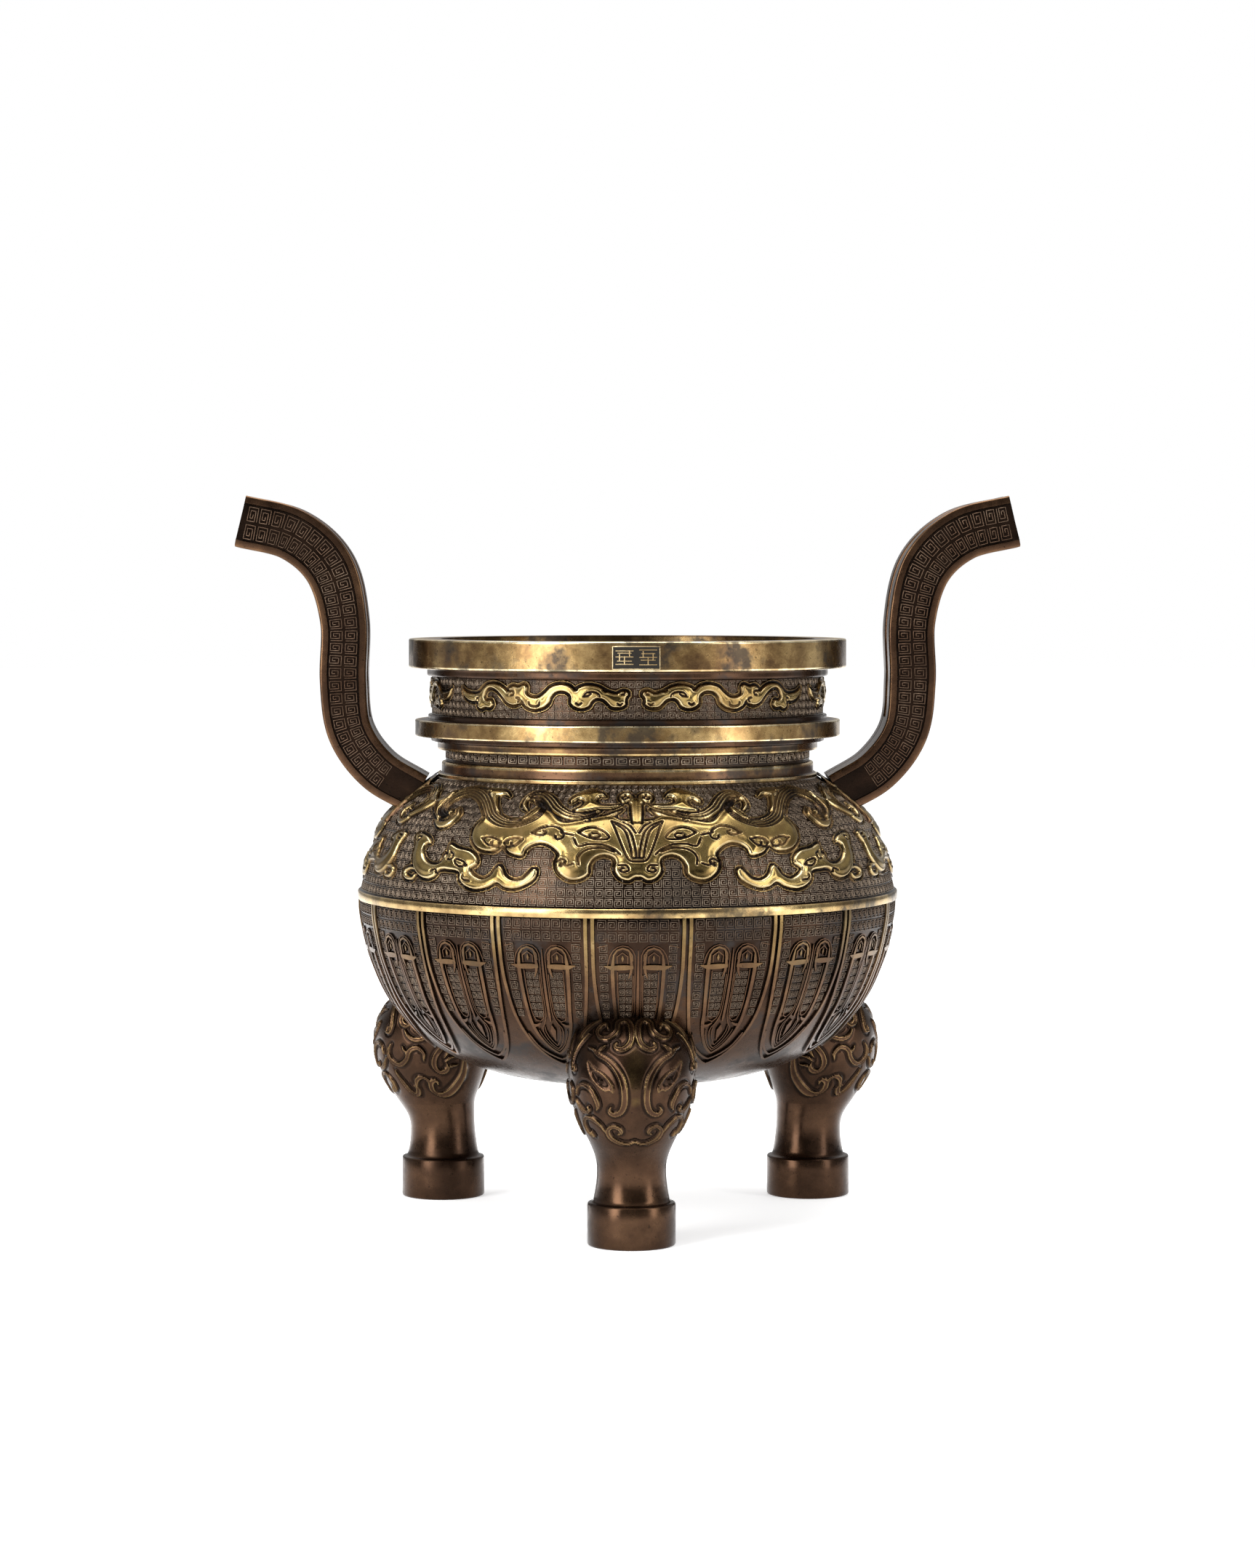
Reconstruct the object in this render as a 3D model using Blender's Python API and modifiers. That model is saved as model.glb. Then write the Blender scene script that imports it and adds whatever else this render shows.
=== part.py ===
"""A bronze censer: a round bowl on three legs, with cast relief and two upright loop handles.

Lengths are in millimetres and angles in degrees, and MM turns them into metres. Angles around the bowl
start at the front leg and grow towards the right handle.
"""

import math

import bmesh
import bpy
import numpy as np
from mathutils import Matrix, Vector

MM = 0.001

# The bowl
TURNED_STEPS = 42
SHOULDER_ROWS, BOWL_ROWS = 6, 9
HOLLOW_SHOULDER_ROWS, HOLLOW_BOWL_ROWS = 5, 7
FINE_SHOULDER_ROWS, FINE_BOWL_ROWS = 60, 120
CURVE_STEPS = 12
WALL = 4.5
BOWL_BASE_Z = 75.2
BOWL_DEPTH = 109.8
BELLY_RADIUS = 154.2
SHOULDER_HEIGHT = 67.9
SHOULDER_TOP_RADIUS = 109.4
BAND_WIDTH = 5.4
BAND_HEIGHT = 1.6
BAND_CLEARANCE = 1.0
# How far above and below a place its slope is read
SLOPE_HEIGHT = 1.0
# Shares of the way out from the shoulder's top to the belly, and of the way down
SHOULDER_SHAPE = ((0.0, 0.0), (0.31, 0.15), (0.65, 0.36), (0.87, 0.655), (0.96, 0.88), (1.0, 1.0))
# Shares of the belly's radius, and of the bowl's depth
BOWL_SHAPE = ((1.0, 0.0), (0.995, 0.12), (0.957, 0.34), (0.871, 0.583),
              (0.70, 0.815), (0.43, 0.951), (0.0, 1.0))

# The mouldings from the shoulder up
RING_HEIGHT, RING_RADIUS = 2.0, 109.2
ROUND_STEP_HEIGHT, ROUND_STEP_RADIUS = 6.6, 107.3
FRET_HEIGHT, FRET_RADIUS = 6.8, 104.4
LOW_STEP_HEIGHT, LOW_STEP_RADIUS = 5.0, 109.6
HIGH_STEP_HEIGHT, HIGH_STEP_RADIUS = 3.0, 113.4
NECK_HEIGHT, NECK_RADIUS = 22.1, 112.4
# How wide the steps beside the neck stand proud of it
FLANGE_HEIGHT, FLANGE_PROUD_WIDTH = 9.3, 10.2
LOW_FILLET_HEIGHT, LOW_FILLET_PROUD_WIDTH = 3.0, 2.6
HIGH_FILLET_HEIGHT, HIGH_FILLET_PROUD_WIDTH = 4.7, 3.2
RIM_HEIGHT, RIM_PROUD_WIDTH = 16.6, 13.7
RIM_RADIUS = NECK_RADIUS + RIM_PROUD_WIDTH
RIM_CHAMFER = 1.2

# The legs
LEGS = 3
LEG_SIDES = 12
CALF_ROWS, CROWN_ROWS = 5, 3
# The crown's last ring, as a share of the way to its top
CROWN_SHARE = 0.95
LEAN_STEPS = 60
LEG_CIRCLE = 125.5
LEG_HEIGHT = 130.5
FOOT_RADIUS = 24.4
FOOT_HEIGHT = 23.8
FOOT_CHAMFER = 1.0
ANKLE_FLARE = 2.4
WAIST_RADIUS = 19.1
WAIST_Z = 42.0
KNEE_RADIUS = 34.9
KNEE_Z = 95.0
KNEE_ROUNDNESS = 2.7
CALF_FULLNESS = 1.2
# How far the leg's middle leans out from the foot's, at shares of the leg's height
LEG_LEAN = ((0.0, 0.0), (0.32, 0.2), (0.46, 5.2), (0.66, 7.1), (0.83, 3.2), (1.0, -9.0))

# The handles
HANDLE_WIDTH = 46.0
HANDLE_SLOT = 14.0
SLOT_ROOT_LENGTH = 60.0
CROSSBAR_WIDTH = 12.0
HANDLE_STEPS = 16
SLOT_STEPS = 12
HANDLE_FINE_STEPS = 80
# The middle line from the bowl's axis out and from the ground up, and the thickness there
HANDLE_PATH = (
    (121.0, 243.0, 24.0),
    (144.0, 257.0, 25.0),
    (159.5, 279.0, 25.5),
    (163.2, 308.0, 26.5),
    (162.8, 342.0, 26.5),
    (171.0, 372.5, 29.0),
    (191.5, 391.5, 30.0),
    (221.4, 399.3, 30.0),
)
COLLAR_MARGIN = 4.0
COLLAR_THICKNESS = 3.2
COLLAR_LOW_Z = 225.0
COLLAR_ROWS = 4
# Places across a collar, as shares of half its width
COLLAR_SHARES = (-1.0, -0.5, 0.0, 0.5, 1.0)
JOINT_GAP = 0.3

# The relief
RELIEF_ROOT_DEPTH = 1.2
MASK_HEIGHT = 1.9
DRAGON_HEIGHT = 1.6
LAPPET_HEIGHT = 1.1
KNEE_RELIEF = 1.8
# Strokes that cross differ in height by this much, so that their faces don't lie in one another
CROSSING_STEP = 0.13
# How far apart a stroke's rows of places are
MASK_SPACING, NOSE_SPACING, DRAGON_SPACING, KNEE_SPACING = 16.5, 9.0, 14.0, 15.0
# The nose's height as a share of the mask's
NOSE_SHARE = 1.3
MASKS = 3
DRAGONS = 6
LAPPETS = 18
LAPPET_TIP_Z = 99.5
LAPPET_GAP = 1.0
LAPPET_LAP_HEIGHT = 0.5
# A lappet's half width at shares of the way down to its tip
LAPPET_SHAPE = ((0.0, 1.0), (0.32, 1.0), (0.58, 0.92), (0.82, 0.64), (1.0, 0.03))
CARTOUCHE_ANGLE = 5.9
CARTOUCHE_HEIGHT = 12.4
CARTOUCHE_DEPTH = 0.8
# Places across the cartouche, as shares of half its angle
CARTOUCHE_SHARES = (-1.0, -0.3, 0.3, 1.0)
ORNAMENT_TURN = 1.2

# Half of a mask, as strokes of (angle, height above the ground, width). Its other half is the mirror image.
MASK_STROKES = (
    ((1.0, 230.0, 21.0), (8.0, 229.0, 19.0), (15.0, 228.5, 21.0), (24.0, 226.5, 13.0), (31.0, 222.5, 14.0),
     (37.0, 222.0, 8.0)),
    ((23.0, 230.0, 5.0), (31.0, 230.5, 9.0), (38.0, 238.0, 12.0), (44.0, 245.0, 10.0), (50.0, 246.5, 7.0),
     (55.5, 240.0, 9.0), (53.0, 232.5, 7.0), (49.0, 231.0, 6.0), (47.5, 236.0, 3.0)),
    ((4.5, 236.5, 4.0), (14.0, 235.5, 5.0), (19.5, 239.0, 7.0), (23.5, 244.8, 6.0), (28.5, 243.0, 5.0),
     (28.5, 239.0, 2.5)),
    ((11.0, 220.0, 8.0), (11.8, 211.0, 9.0), (14.0, 205.5, 9.0), (17.0, 210.0, 3.0)),
    ((57.0, 221.5, 5.0), (54.2, 214.0, 9.0), (50.0, 204.5, 9.0), (42.0, 208.5, 8.0), (37.5, 202.5, 9.0),
     (33.0, 200.0, 7.0), (30.2, 205.5, 4.0), (29.8, 209.0, 3.0)),
    ((31.0, 202.0, 5.0), (26.5, 199.5, 6.5), (23.0, 203.0, 5.0), (21.6, 208.0, 3.0)),
)
NOSE_STROKE = ((0.0, 247.0, 17.0), (0.0, 240.0, 8.0), (0.0, 231.0, 12.0), (0.0, 222.0, 14.0),
               (0.0, 212.5, 11.0), (0.0, 207.0, 23.0), (0.0, 202.8, 16.0))
# A neck dragon from its snout to its tail
DRAGON_STROKES = (
    ((1.6, 301.5, 9.0), (6.0, 301.0, 7.0), (11.0, 303.5, 10.0), (16.5, 301.5, 9.0), (21.5, 306.8, 4.5),
     (25.0, 302.0, 5.5), (29.5, 297.5, 7.0), (33.5, 303.0, 8.0), (36.5, 298.5, 6.0), (41.0, 304.5, 4.5),
     (45.5, 307.0, 4.5), (50.0, 300.5, 6.0), (54.0, 299.5, 4.0), (56.5, 304.0, 2.0)),
)
# The mask on a knee, as strokes of (angle around the leg, height, width)
KNEE_STROKES = (
    ((-3.0, 118.5, 3.0), (4.0, 122.5, 3.0), (22.0, 125.0, 3.0), (42.0, 122.5, 3.0)),
    ((2.0, 116.0, 2.5), (10.0, 113.8, 2.5), (19.0, 115.0, 2.0)),
    ((45.0, 112.0, 2.0), (32.0, 110.0, 3.0), (17.0, 105.0, 3.4), (8.5, 96.0, 3.4), (7.0, 86.0, 3.4),
     (12.0, 79.0, 3.2), (21.0, 79.5, 2.4)),
    ((20.0, 89.5, 1.5), (27.0, 94.0, 5.0), (37.0, 98.5, 6.5), (47.0, 102.5, 1.5)),
    ((37.0, 80.0, 2.0), (36.0, 87.0, 2.4), (48.0, 91.0, 2.4), (60.0, 88.0, 2.0)),
    ((-2.0, 60.2, 1.8), (16.0, 60.5, 2.0), (27.0, 63.5, 2.2), (24.0, 68.0, 2.2), (14.0, 66.5, 2.0)),
)


def smooth_line(points, steps):
    """Steps evenly spaced places along a smooth curve through the points."""
    points = np.array(points, float)
    ends = np.vstack([2 * points[0] - points[1], points, 2 * points[-1] - points[-2]])
    fine = []
    for first in range(len(points) - 1):
        a, b, c, d = ends[first : first + 4]
        for t in np.linspace(0.0, 1.0, CURVE_STEPS, endpoint=False):
            square, cube = t * t, t * t * t
            fine.append(0.5 * (2 * b + (c - a) * t + (2 * a - 5 * b + 4 * c - d) * square
                               + (3 * b - a - 3 * c + d) * cube))
    fine.append(points[-1])
    fine = np.array(fine)
    run = np.concatenate([[0.0], np.cumsum(np.linalg.norm(np.diff(fine[:, :2], axis=0), axis=1))])
    places = np.linspace(0.0, run[-1], steps)
    return np.stack([np.interp(places, run, column) for column in fine.T], axis=1)


BELLY_Z = BOWL_BASE_Z + BOWL_DEPTH
SHOULDER_TOP_Z = BELLY_Z + SHOULDER_HEIGHT


def body_line(shoulder_steps, bowl_steps):
    """The body's outline as (radius, height), from the shoulder's top to the middle of its underside."""
    out = BELLY_RADIUS - SHOULDER_TOP_RADIUS
    shoulder = [(SHOULDER_TOP_RADIUS + out * x, SHOULDER_TOP_Z - SHOULDER_HEIGHT * y)
                for x, y in SHOULDER_SHAPE]
    bowl = [(BELLY_RADIUS * x, BELLY_Z - BOWL_DEPTH * y) for x, y in BOWL_SHAPE]
    upper = smooth_line(shoulder, shoulder_steps)
    lower = smooth_line(bowl, bowl_steps)
    return np.vstack([upper[:-1], lower])


FINE_BODY = body_line(FINE_SHOULDER_ROWS, FINE_BOWL_ROWS)


def body_radius(z):
    return float(np.interp(z, FINE_BODY[::-1, 1], FINE_BODY[::-1, 0]))


def moulding_steps():
    """Each moulding above the shoulder as (radius, low height, high height)."""
    steps = []
    z = SHOULDER_TOP_Z
    for height, radius in (
        (RING_HEIGHT, RING_RADIUS),
        (ROUND_STEP_HEIGHT, ROUND_STEP_RADIUS),
        (FRET_HEIGHT, FRET_RADIUS),
        (LOW_STEP_HEIGHT, LOW_STEP_RADIUS),
        (HIGH_STEP_HEIGHT, HIGH_STEP_RADIUS),
        (FLANGE_HEIGHT, NECK_RADIUS + FLANGE_PROUD_WIDTH),
        (LOW_FILLET_HEIGHT, NECK_RADIUS + LOW_FILLET_PROUD_WIDTH),
        (NECK_HEIGHT, NECK_RADIUS),
        (HIGH_FILLET_HEIGHT, NECK_RADIUS + HIGH_FILLET_PROUD_WIDTH),
        (RIM_HEIGHT, RIM_RADIUS),
    ):
        steps.append((radius, z, z + height))
        z += height
    return steps


STEPS = moulding_steps()
RIM_TOP_Z = STEPS[-1][2]
NECK_LOW_Z = STEPS[7][1]
FRET_HIGH_Z = STEPS[2][2]


def outer_outline():
    """The vessel's outer outline from the middle of the mouth down to the middle of the underside."""
    points = [(0.0, RIM_TOP_Z), (RIM_RADIUS - RIM_CHAMFER, RIM_TOP_Z),
              (RIM_RADIUS, RIM_TOP_Z - RIM_CHAMFER)]
    for radius, low, high in reversed(STEPS):
        if radius != RIM_RADIUS:
            points.append((radius, high))
        points.append((radius, low))
    body = [(radius, z) for radius, z in body_line(SHOULDER_ROWS, BOWL_ROWS)]
    high, low = BELLY_Z + BAND_WIDTH / 2, BELLY_Z - BAND_WIDTH / 2
    proud = BELLY_RADIUS + BAND_HEIGHT
    points += [place for place in body if place[1] > high + BAND_CLEARANCE]
    points += [(body_radius(high), high), (proud, high), (proud, low), (body_radius(low), low)]
    points += [place for place in body if place[1] < low - BAND_CLEARANCE]
    return points


def inner_outline():
    """The hollow's outline from above the mouth down to the middle of the bowl's inside."""
    throat = FRET_RADIUS - WALL
    points = [(0.0, RIM_TOP_Z + WALL), (NECK_RADIUS - WALL, RIM_TOP_Z + WALL),
              (NECK_RADIUS - WALL, NECK_LOW_Z),
              (throat, FRET_HIGH_Z), (throat, SHOULDER_TOP_Z)]
    body = body_line(HOLLOW_SHOULDER_ROWS, HOLLOW_BOWL_ROWS)
    for before, here, after in zip(body, body[1:], body[2:]):
        along = (after - before) / np.linalg.norm(after - before)
        points.append((here[0] + WALL * along[1], here[1] - WALL * along[0]))
    points.append((0.0, BOWL_BASE_Z + WALL))
    return points


def clear_scene():
    for obj in list(bpy.data.objects):
        bpy.data.objects.remove(obj, do_unlink=True)


def new_collection(name):
    collection = bpy.data.collections.new(name)
    bpy.context.scene.collection.children.link(collection)
    return collection


def metal(name, color, roughness):
    """A bronze with its own colour and roughness."""
    material = bpy.data.materials.new(name)
    material.use_nodes = True
    shader = material.node_tree.nodes["Principled BSDF"]
    shader.inputs["Base Color"].default_value = (*color, 1.0)
    shader.inputs["Metallic"].default_value = 1.0
    shader.inputs["Roughness"].default_value = roughness
    return material


def add_object(name, mesh, collection, parent):
    obj = bpy.data.objects.new(name, mesh)
    collection.objects.link(obj)
    obj.parent = parent
    return obj


def as_cutter(obj):
    obj.hide_render = True
    obj.display_type = "WIRE"
    return obj


def turned(name, outline, collection, parent):
    """A solid turned from an outline that starts and ends on the axis."""
    mesh = bpy.data.meshes.new(name)
    places = [(radius * MM, 0.0, z * MM) for radius, z in outline]
    mesh.from_pydata(places, [(i, i + 1) for i in range(len(places) - 1)], [])
    obj = add_object(name, mesh, collection, parent)
    screw = obj.modifiers.new("turn", "SCREW")
    screw.steps = TURNED_STEPS
    screw.render_steps = TURNED_STEPS
    screw.use_merge_vertices = True
    screw.merge_threshold = 0.00001
    return obj


def boolean(obj, operation, collection):
    modifier = obj.modifiers.new(operation.lower(), "BOOLEAN")
    modifier.operation = operation
    # EXACT leaves open edges where many strokes cross
    modifier.solver = "MANIFOLD"
    modifier.operand_type = "COLLECTION"
    modifier.collection = collection


def block_of(rings, name):
    """A closed mesh through rings of places, with its two ends filled."""
    bm = bmesh.new()
    rows = [[bm.verts.new(Vector(place) * MM) for place in ring] for ring in rings]
    for low, high in zip(rows, rows[1:]):
        for i in range(len(low)):
            j = (i + 1) % len(low)
            bm.faces.new((low[i], low[j], high[j], high[i]))
    bm.faces.new(list(reversed(rows[0])))
    bm.faces.new(rows[-1])
    bmesh.ops.recalc_face_normals(bm, faces=bm.faces)
    mesh = bpy.data.meshes.new(name)
    bm.to_mesh(mesh)
    bm.free()
    return mesh


def on_body(angle, z, out):
    """A place on the bowl, or on the neck, lifted off the surface."""
    turn = math.radians(angle)
    if z > NECK_LOW_Z:
        radius, rise = NECK_RADIUS + out, z
    else:
        slope = (body_radius(z + SLOPE_HEIGHT) - body_radius(z - SLOPE_HEIGHT)) / (2 * SLOPE_HEIGHT)
        length = math.hypot(slope, 1.0)
        radius = body_radius(z) + out / length
        rise = z - out * slope / length
    return (radius * math.sin(turn), -radius * math.cos(turn), rise)


def leg_radius(z):
    """The leg's radius at a height: a foot, an ankle that flares to it, a waist and an egg-shaped knee."""
    if z <= FOOT_HEIGHT:
        return FOOT_RADIUS
    if z < WAIST_Z:
        return WAIST_RADIUS + ANKLE_FLARE * ((WAIST_Z - z) / (WAIST_Z - FOOT_HEIGHT)) ** 2
    if z < KNEE_Z:
        share = ((KNEE_Z - z) / (KNEE_Z - WAIST_Z)) ** CALF_FULLNESS
        return WAIST_RADIUS + (KNEE_RADIUS - WAIST_RADIUS) * (0.5 + 0.5 * math.cos(math.pi * share))
    share = min((z - KNEE_Z) / (LEG_HEIGHT - KNEE_Z), 0.999)
    return KNEE_RADIUS * (1.0 - share**KNEE_ROUNDNESS) ** (1.0 / KNEE_ROUNDNESS)


FINE_LEAN = smooth_line(LEG_LEAN, LEAN_STEPS)


def leg_middle(z):
    return LEG_CIRCLE + float(np.interp(z / LEG_HEIGHT, FINE_LEAN[:, 0], FINE_LEAN[:, 1]))


def on_leg(angle, z, out):
    """A place on the front leg, lifted off the surface."""
    turn = math.radians(angle)
    slope = (leg_radius(z + SLOPE_HEIGHT) - leg_radius(z - SLOPE_HEIGHT)) / (2 * SLOPE_HEIGHT)
    length = math.hypot(slope, 1.0)
    radius = leg_radius(z) + out / length
    return (radius * math.sin(turn), -leg_middle(z) - radius * math.cos(turn), z - out * slope / length)


def leg_mesh():
    """One leg as rings from the ground to the top of the knee."""
    calf = np.linspace(WAIST_Z, KNEE_Z, CALF_ROWS)
    turns = np.linspace(0.0, math.pi / 2 * CROWN_SHARE, CROWN_ROWS + 1)[1:]
    crown = KNEE_Z + (LEG_HEIGHT - KNEE_Z) * np.sin(turns)
    ankle = WAIST_RADIUS + ANKLE_FLARE
    shin_z = (FOOT_HEIGHT + WAIST_Z) / 2
    rows = [(0.0, FOOT_RADIUS), (FOOT_HEIGHT - FOOT_CHAMFER, FOOT_RADIUS),
            (FOOT_HEIGHT, FOOT_RADIUS - FOOT_CHAMFER), (FOOT_HEIGHT + FOOT_CHAMFER, ankle),
            (shin_z, leg_radius(shin_z))]
    rows += [(z, leg_radius(z)) for z in [*calf, *crown]]
    rings = []
    for z, radius in rows:
        turns = [math.tau * i / LEG_SIDES for i in range(LEG_SIDES)]
        rings.append([(radius * math.sin(t), -leg_middle(z) - radius * math.cos(t), z) for t in turns])
    return block_of(rings, "leg")


def ribbon_rows(stroke, surface, height, spacing):
    """Rows of places across a stroke, lifted by the relief's height, and the same rows sunk."""
    metric = Vector(surface(0.5, stroke[0][1], 0.0)) - Vector(surface(-0.5, stroke[0][1], 0.0))
    flat = [(angle * metric.length, z, width) for angle, z, width in stroke]
    length = sum(math.dist(a[:2], b[:2]) for a, b in zip(flat, flat[1:]))
    line = smooth_line(flat, max(3, round(length / spacing) + 1))
    along = np.gradient(line[:, :2], axis=0)
    along /= np.linalg.norm(along, axis=1)[:, None]
    tops, roots = [], []
    for (x, z, width), (dx, dz) in zip(line, along):
        places = [((x - dz * s) / metric.length, z + dx * s) for s in (-width / 2, width / 2)]
        tops.append([surface(angle, rise, height) for angle, rise in places])
        roots.append([surface(angle, rise, -RELIEF_ROOT_DEPTH) for angle, rise in places])
    return tops, roots


def plate_mesh(name, tops, roots):
    """A closed plate between rows of places above the ground and the same rows below it."""
    rings = [top + list(reversed(root)) for top, root in zip(tops, roots)]
    return block_of(rings, name)


def turned_copy(mesh, angle, mirrored):
    """A copy of a mesh turned around the bowl's axis, and mirrored first if asked."""
    copy = mesh.copy()
    if mirrored:
        copy.transform(Matrix.Scale(-1.0, 4, Vector((1.0, 0.0, 0.0))))
        copy.flip_normals()
    copy.transform(Matrix.Rotation(math.radians(angle), 4, "Z"))
    return copy


def clear_of_handles(mesh):
    """Whether a relief stroke stays clear of both handles' collars."""
    reach = HANDLE_WIDTH / 2 + COLLAR_MARGIN + MASK_HEIGHT
    low = (COLLAR_LOW_Z - MASK_HEIGHT) * MM
    high = SHOULDER_TOP_Z * MM
    return all(abs(v.co.y) > reach * MM or v.co.z < low or v.co.z > high for v in mesh.vertices)


def add_relief(collection, parent):
    """The masks, the neck's dragons, the lappets and the knees' masks, each stroke a plate of its own."""
    strokes = []
    for i, stroke in enumerate(MASK_STROKES):
        tops, roots = ribbon_rows(stroke, on_body, MASK_HEIGHT + i % 3 * CROSSING_STEP, MASK_SPACING)
        mesh = plate_mesh("mask_stroke", tops, roots)
        for mask in range(MASKS):
            turn = ORNAMENT_TURN + mask * 360.0 / MASKS
            strokes += [turned_copy(mesh, turn, False), turned_copy(mesh, turn, True)]
    tops, roots = ribbon_rows(NOSE_STROKE, on_body, MASK_HEIGHT * NOSE_SHARE, NOSE_SPACING)
    nose = plate_mesh("nose", tops, roots)
    strokes += [turned_copy(nose, ORNAMENT_TURN + mask * 360.0 / MASKS, False) for mask in range(MASKS)]
    for stroke in DRAGON_STROKES:
        tops, roots = ribbon_rows(stroke, on_body, DRAGON_HEIGHT, DRAGON_SPACING)
        mesh = plate_mesh("dragon_stroke", tops, roots)
        for pair in range(DRAGONS // 2):
            turn = ORNAMENT_TURN + pair * 720.0 / DRAGONS
            strokes += [turned_copy(mesh, turn, False), turned_copy(mesh, turn, True)]
    lappet = lappet_mesh()
    strokes += [turned_copy(lappet, ORNAMENT_TURN + i * 360.0 / LAPPETS, False) for i in range(LAPPETS)]
    for i, stroke in enumerate(KNEE_STROKES):
        tops, roots = ribbon_rows(stroke, on_leg, KNEE_RELIEF + i % 2 * CROSSING_STEP, KNEE_SPACING)
        mesh = plate_mesh("knee_stroke", tops, roots)
        for leg in range(LEGS):
            turn = leg * 360.0 / LEGS
            strokes += [turned_copy(mesh, turn, False), turned_copy(mesh, turn, True)]
    for i, mesh in enumerate(strokes):
        if clear_of_handles(mesh):
            as_cutter(add_object(f"relief_{i:03d}", mesh, collection, parent))


def lappet_mesh():
    """A hanging tongue with straight sides and a pointed end."""
    top = BELLY_Z - BAND_WIDTH / 2 + LAPPET_LAP_HEIGHT
    half = 180.0 / LAPPETS - math.degrees(LAPPET_GAP / 2 / BELLY_RADIUS)
    drop = top - LAPPET_TIP_Z
    rows = []
    for share, wide in LAPPET_SHAPE:
        z = top - drop * share
        rows.append([(half * wide * x, z) for x in (-1.0, 0.0, 1.0)])
    tops = [[on_body(angle, z, LAPPET_HEIGHT) for angle, z in row] for row in rows]
    roots = [[on_body(angle, z, -RELIEF_ROOT_DEPTH) for angle, z in row] for row in rows]
    return plate_mesh("lappet", tops, roots)


def cartouche_cutter(collection, parent):
    """A shallow recess in the rim's front, for the inscription's panel."""
    middle = (RIM_TOP_Z + STEPS[-1][1]) / 2
    low, high = middle - CARTOUCHE_HEIGHT / 2, middle + CARTOUCHE_HEIGHT / 2
    rings = []
    for radius in (RIM_RADIUS - CARTOUCHE_DEPTH, RIM_RADIUS + CARTOUCHE_DEPTH):
        ring = []
        for z, turns in ((low, CARTOUCHE_SHARES), (high, CARTOUCHE_SHARES[::-1])):
            for share in turns:
                turn = math.radians(ORNAMENT_TURN + CARTOUCHE_ANGLE * share)
                ring.append((radius * math.sin(turn), -radius * math.cos(turn), z))
        rings.append(ring)
    as_cutter(add_object("cartouche_cutter", block_of(rings, "cartouche_cutter"), collection, parent))


def make_vessel(parts, parent, material):
    """The hollow bowl with its mouldings, relief and three legs, cast in one."""
    vessel = turned("vessel", outer_outline(), parts, parent)
    vessel.data.materials.append(material)
    castings = new_collection("castings")
    leg = leg_mesh()
    for i in range(LEGS):
        as_cutter(add_object(f"leg_{i}", turned_copy(leg, i * 360.0 / LEGS, False), castings, parent))
    add_relief(castings, parent)
    boolean(vessel, "UNION", castings)
    hollows = new_collection("hollows")
    as_cutter(turned("hollow", inner_outline(), hollows, parent))
    cartouche_cutter(hollows, parent)
    boolean(vessel, "DIFFERENCE", hollows)
    return vessel


def band_outline(line, extra):
    """The two edges of a band along a line of (x, z, thickness), as one loop."""
    along = np.gradient(line[:, :2], axis=0)
    along /= np.linalg.norm(along, axis=1)[:, None]
    across = np.stack([-along[:, 1], along[:, 0]], axis=1) * (line[:, 2:] / 2 + extra)
    return np.vstack([line[:, :2] + across, (line[:, :2] - across)[::-1]])


def band_mesh(name, outline, width, side):
    """An upright outline in the plane of the handles, given its width."""
    rings = [[(side * x, y, z) for x, z in outline] for y in (-width / 2, width / 2)]
    return block_of(rings, name)


def make_handle(name, side, parts, parent, material, shoulder):
    """One S-shaped loop handle, with the collar that seats it on the shoulder."""
    line = smooth_line(HANDLE_PATH, HANDLE_STEPS)
    handle = add_object(name, band_mesh(name, band_outline(line, 0.0), HANDLE_WIDTH, side), parts, parent)
    handle.data.materials.append(material)
    collars = new_collection(name + "_collar")
    wide = HANDLE_WIDTH + 2 * COLLAR_MARGIN
    as_cutter(add_object(name + "_foot", collar_mesh(wide, side), collars, parent))
    boolean(handle, "UNION", collars)
    slots = new_collection(name + "_cutters")
    fine = smooth_line(HANDLE_PATH, HANDLE_FINE_STEPS)
    run = np.concatenate([[0.0], np.cumsum(np.linalg.norm(np.diff(fine[:, :2], axis=0), axis=1))])
    places = np.linspace(SLOT_ROOT_LENGTH, run[-1] - CROSSBAR_WIDTH, SLOT_STEPS)
    slot = np.stack([np.interp(places, run, column) for column in fine.T], axis=1)
    cut = band_mesh(name + "_slot", band_outline(slot, HANDLE_SLOT / 2), HANDLE_SLOT, side)
    as_cutter(add_object(name + "_slot", cut, slots, parent))
    slots.objects.link(shoulder)
    boolean(handle, "DIFFERENCE", slots)
    return handle


def collar_mesh(width, side):
    """A plate that follows the shoulder under a handle's root."""
    rows = []
    for z in np.linspace(COLLAR_LOW_Z, SHOULDER_TOP_Z - 2 * JOINT_GAP, COLLAR_ROWS):
        half = math.degrees(width / 2 / body_radius(z))
        rows.append([(90.0 * side + half * x, z) for x in COLLAR_SHARES])
    tops = [[on_body(angle, z, COLLAR_THICKNESS) for angle, z in row] for row in rows]
    roots = [[on_body(angle, z, -RELIEF_ROOT_DEPTH) for angle, z in row] for row in rows]
    return plate_mesh("collar", tops, roots)


def shoulder_cutter(collection, parent):
    """The vessel's outer form, grown by the gap that the handles keep to it."""
    outline = outer_outline()
    grown = [(radius + JOINT_GAP if radius else 0.0, z) for radius, z in outline]
    lifted = [(radius, z + JOINT_GAP * 0.5 if z < SHOULDER_TOP_Z else z) for radius, z in grown]
    return as_cutter(turned("shoulder_cutter", lifted, collection, parent))


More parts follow.
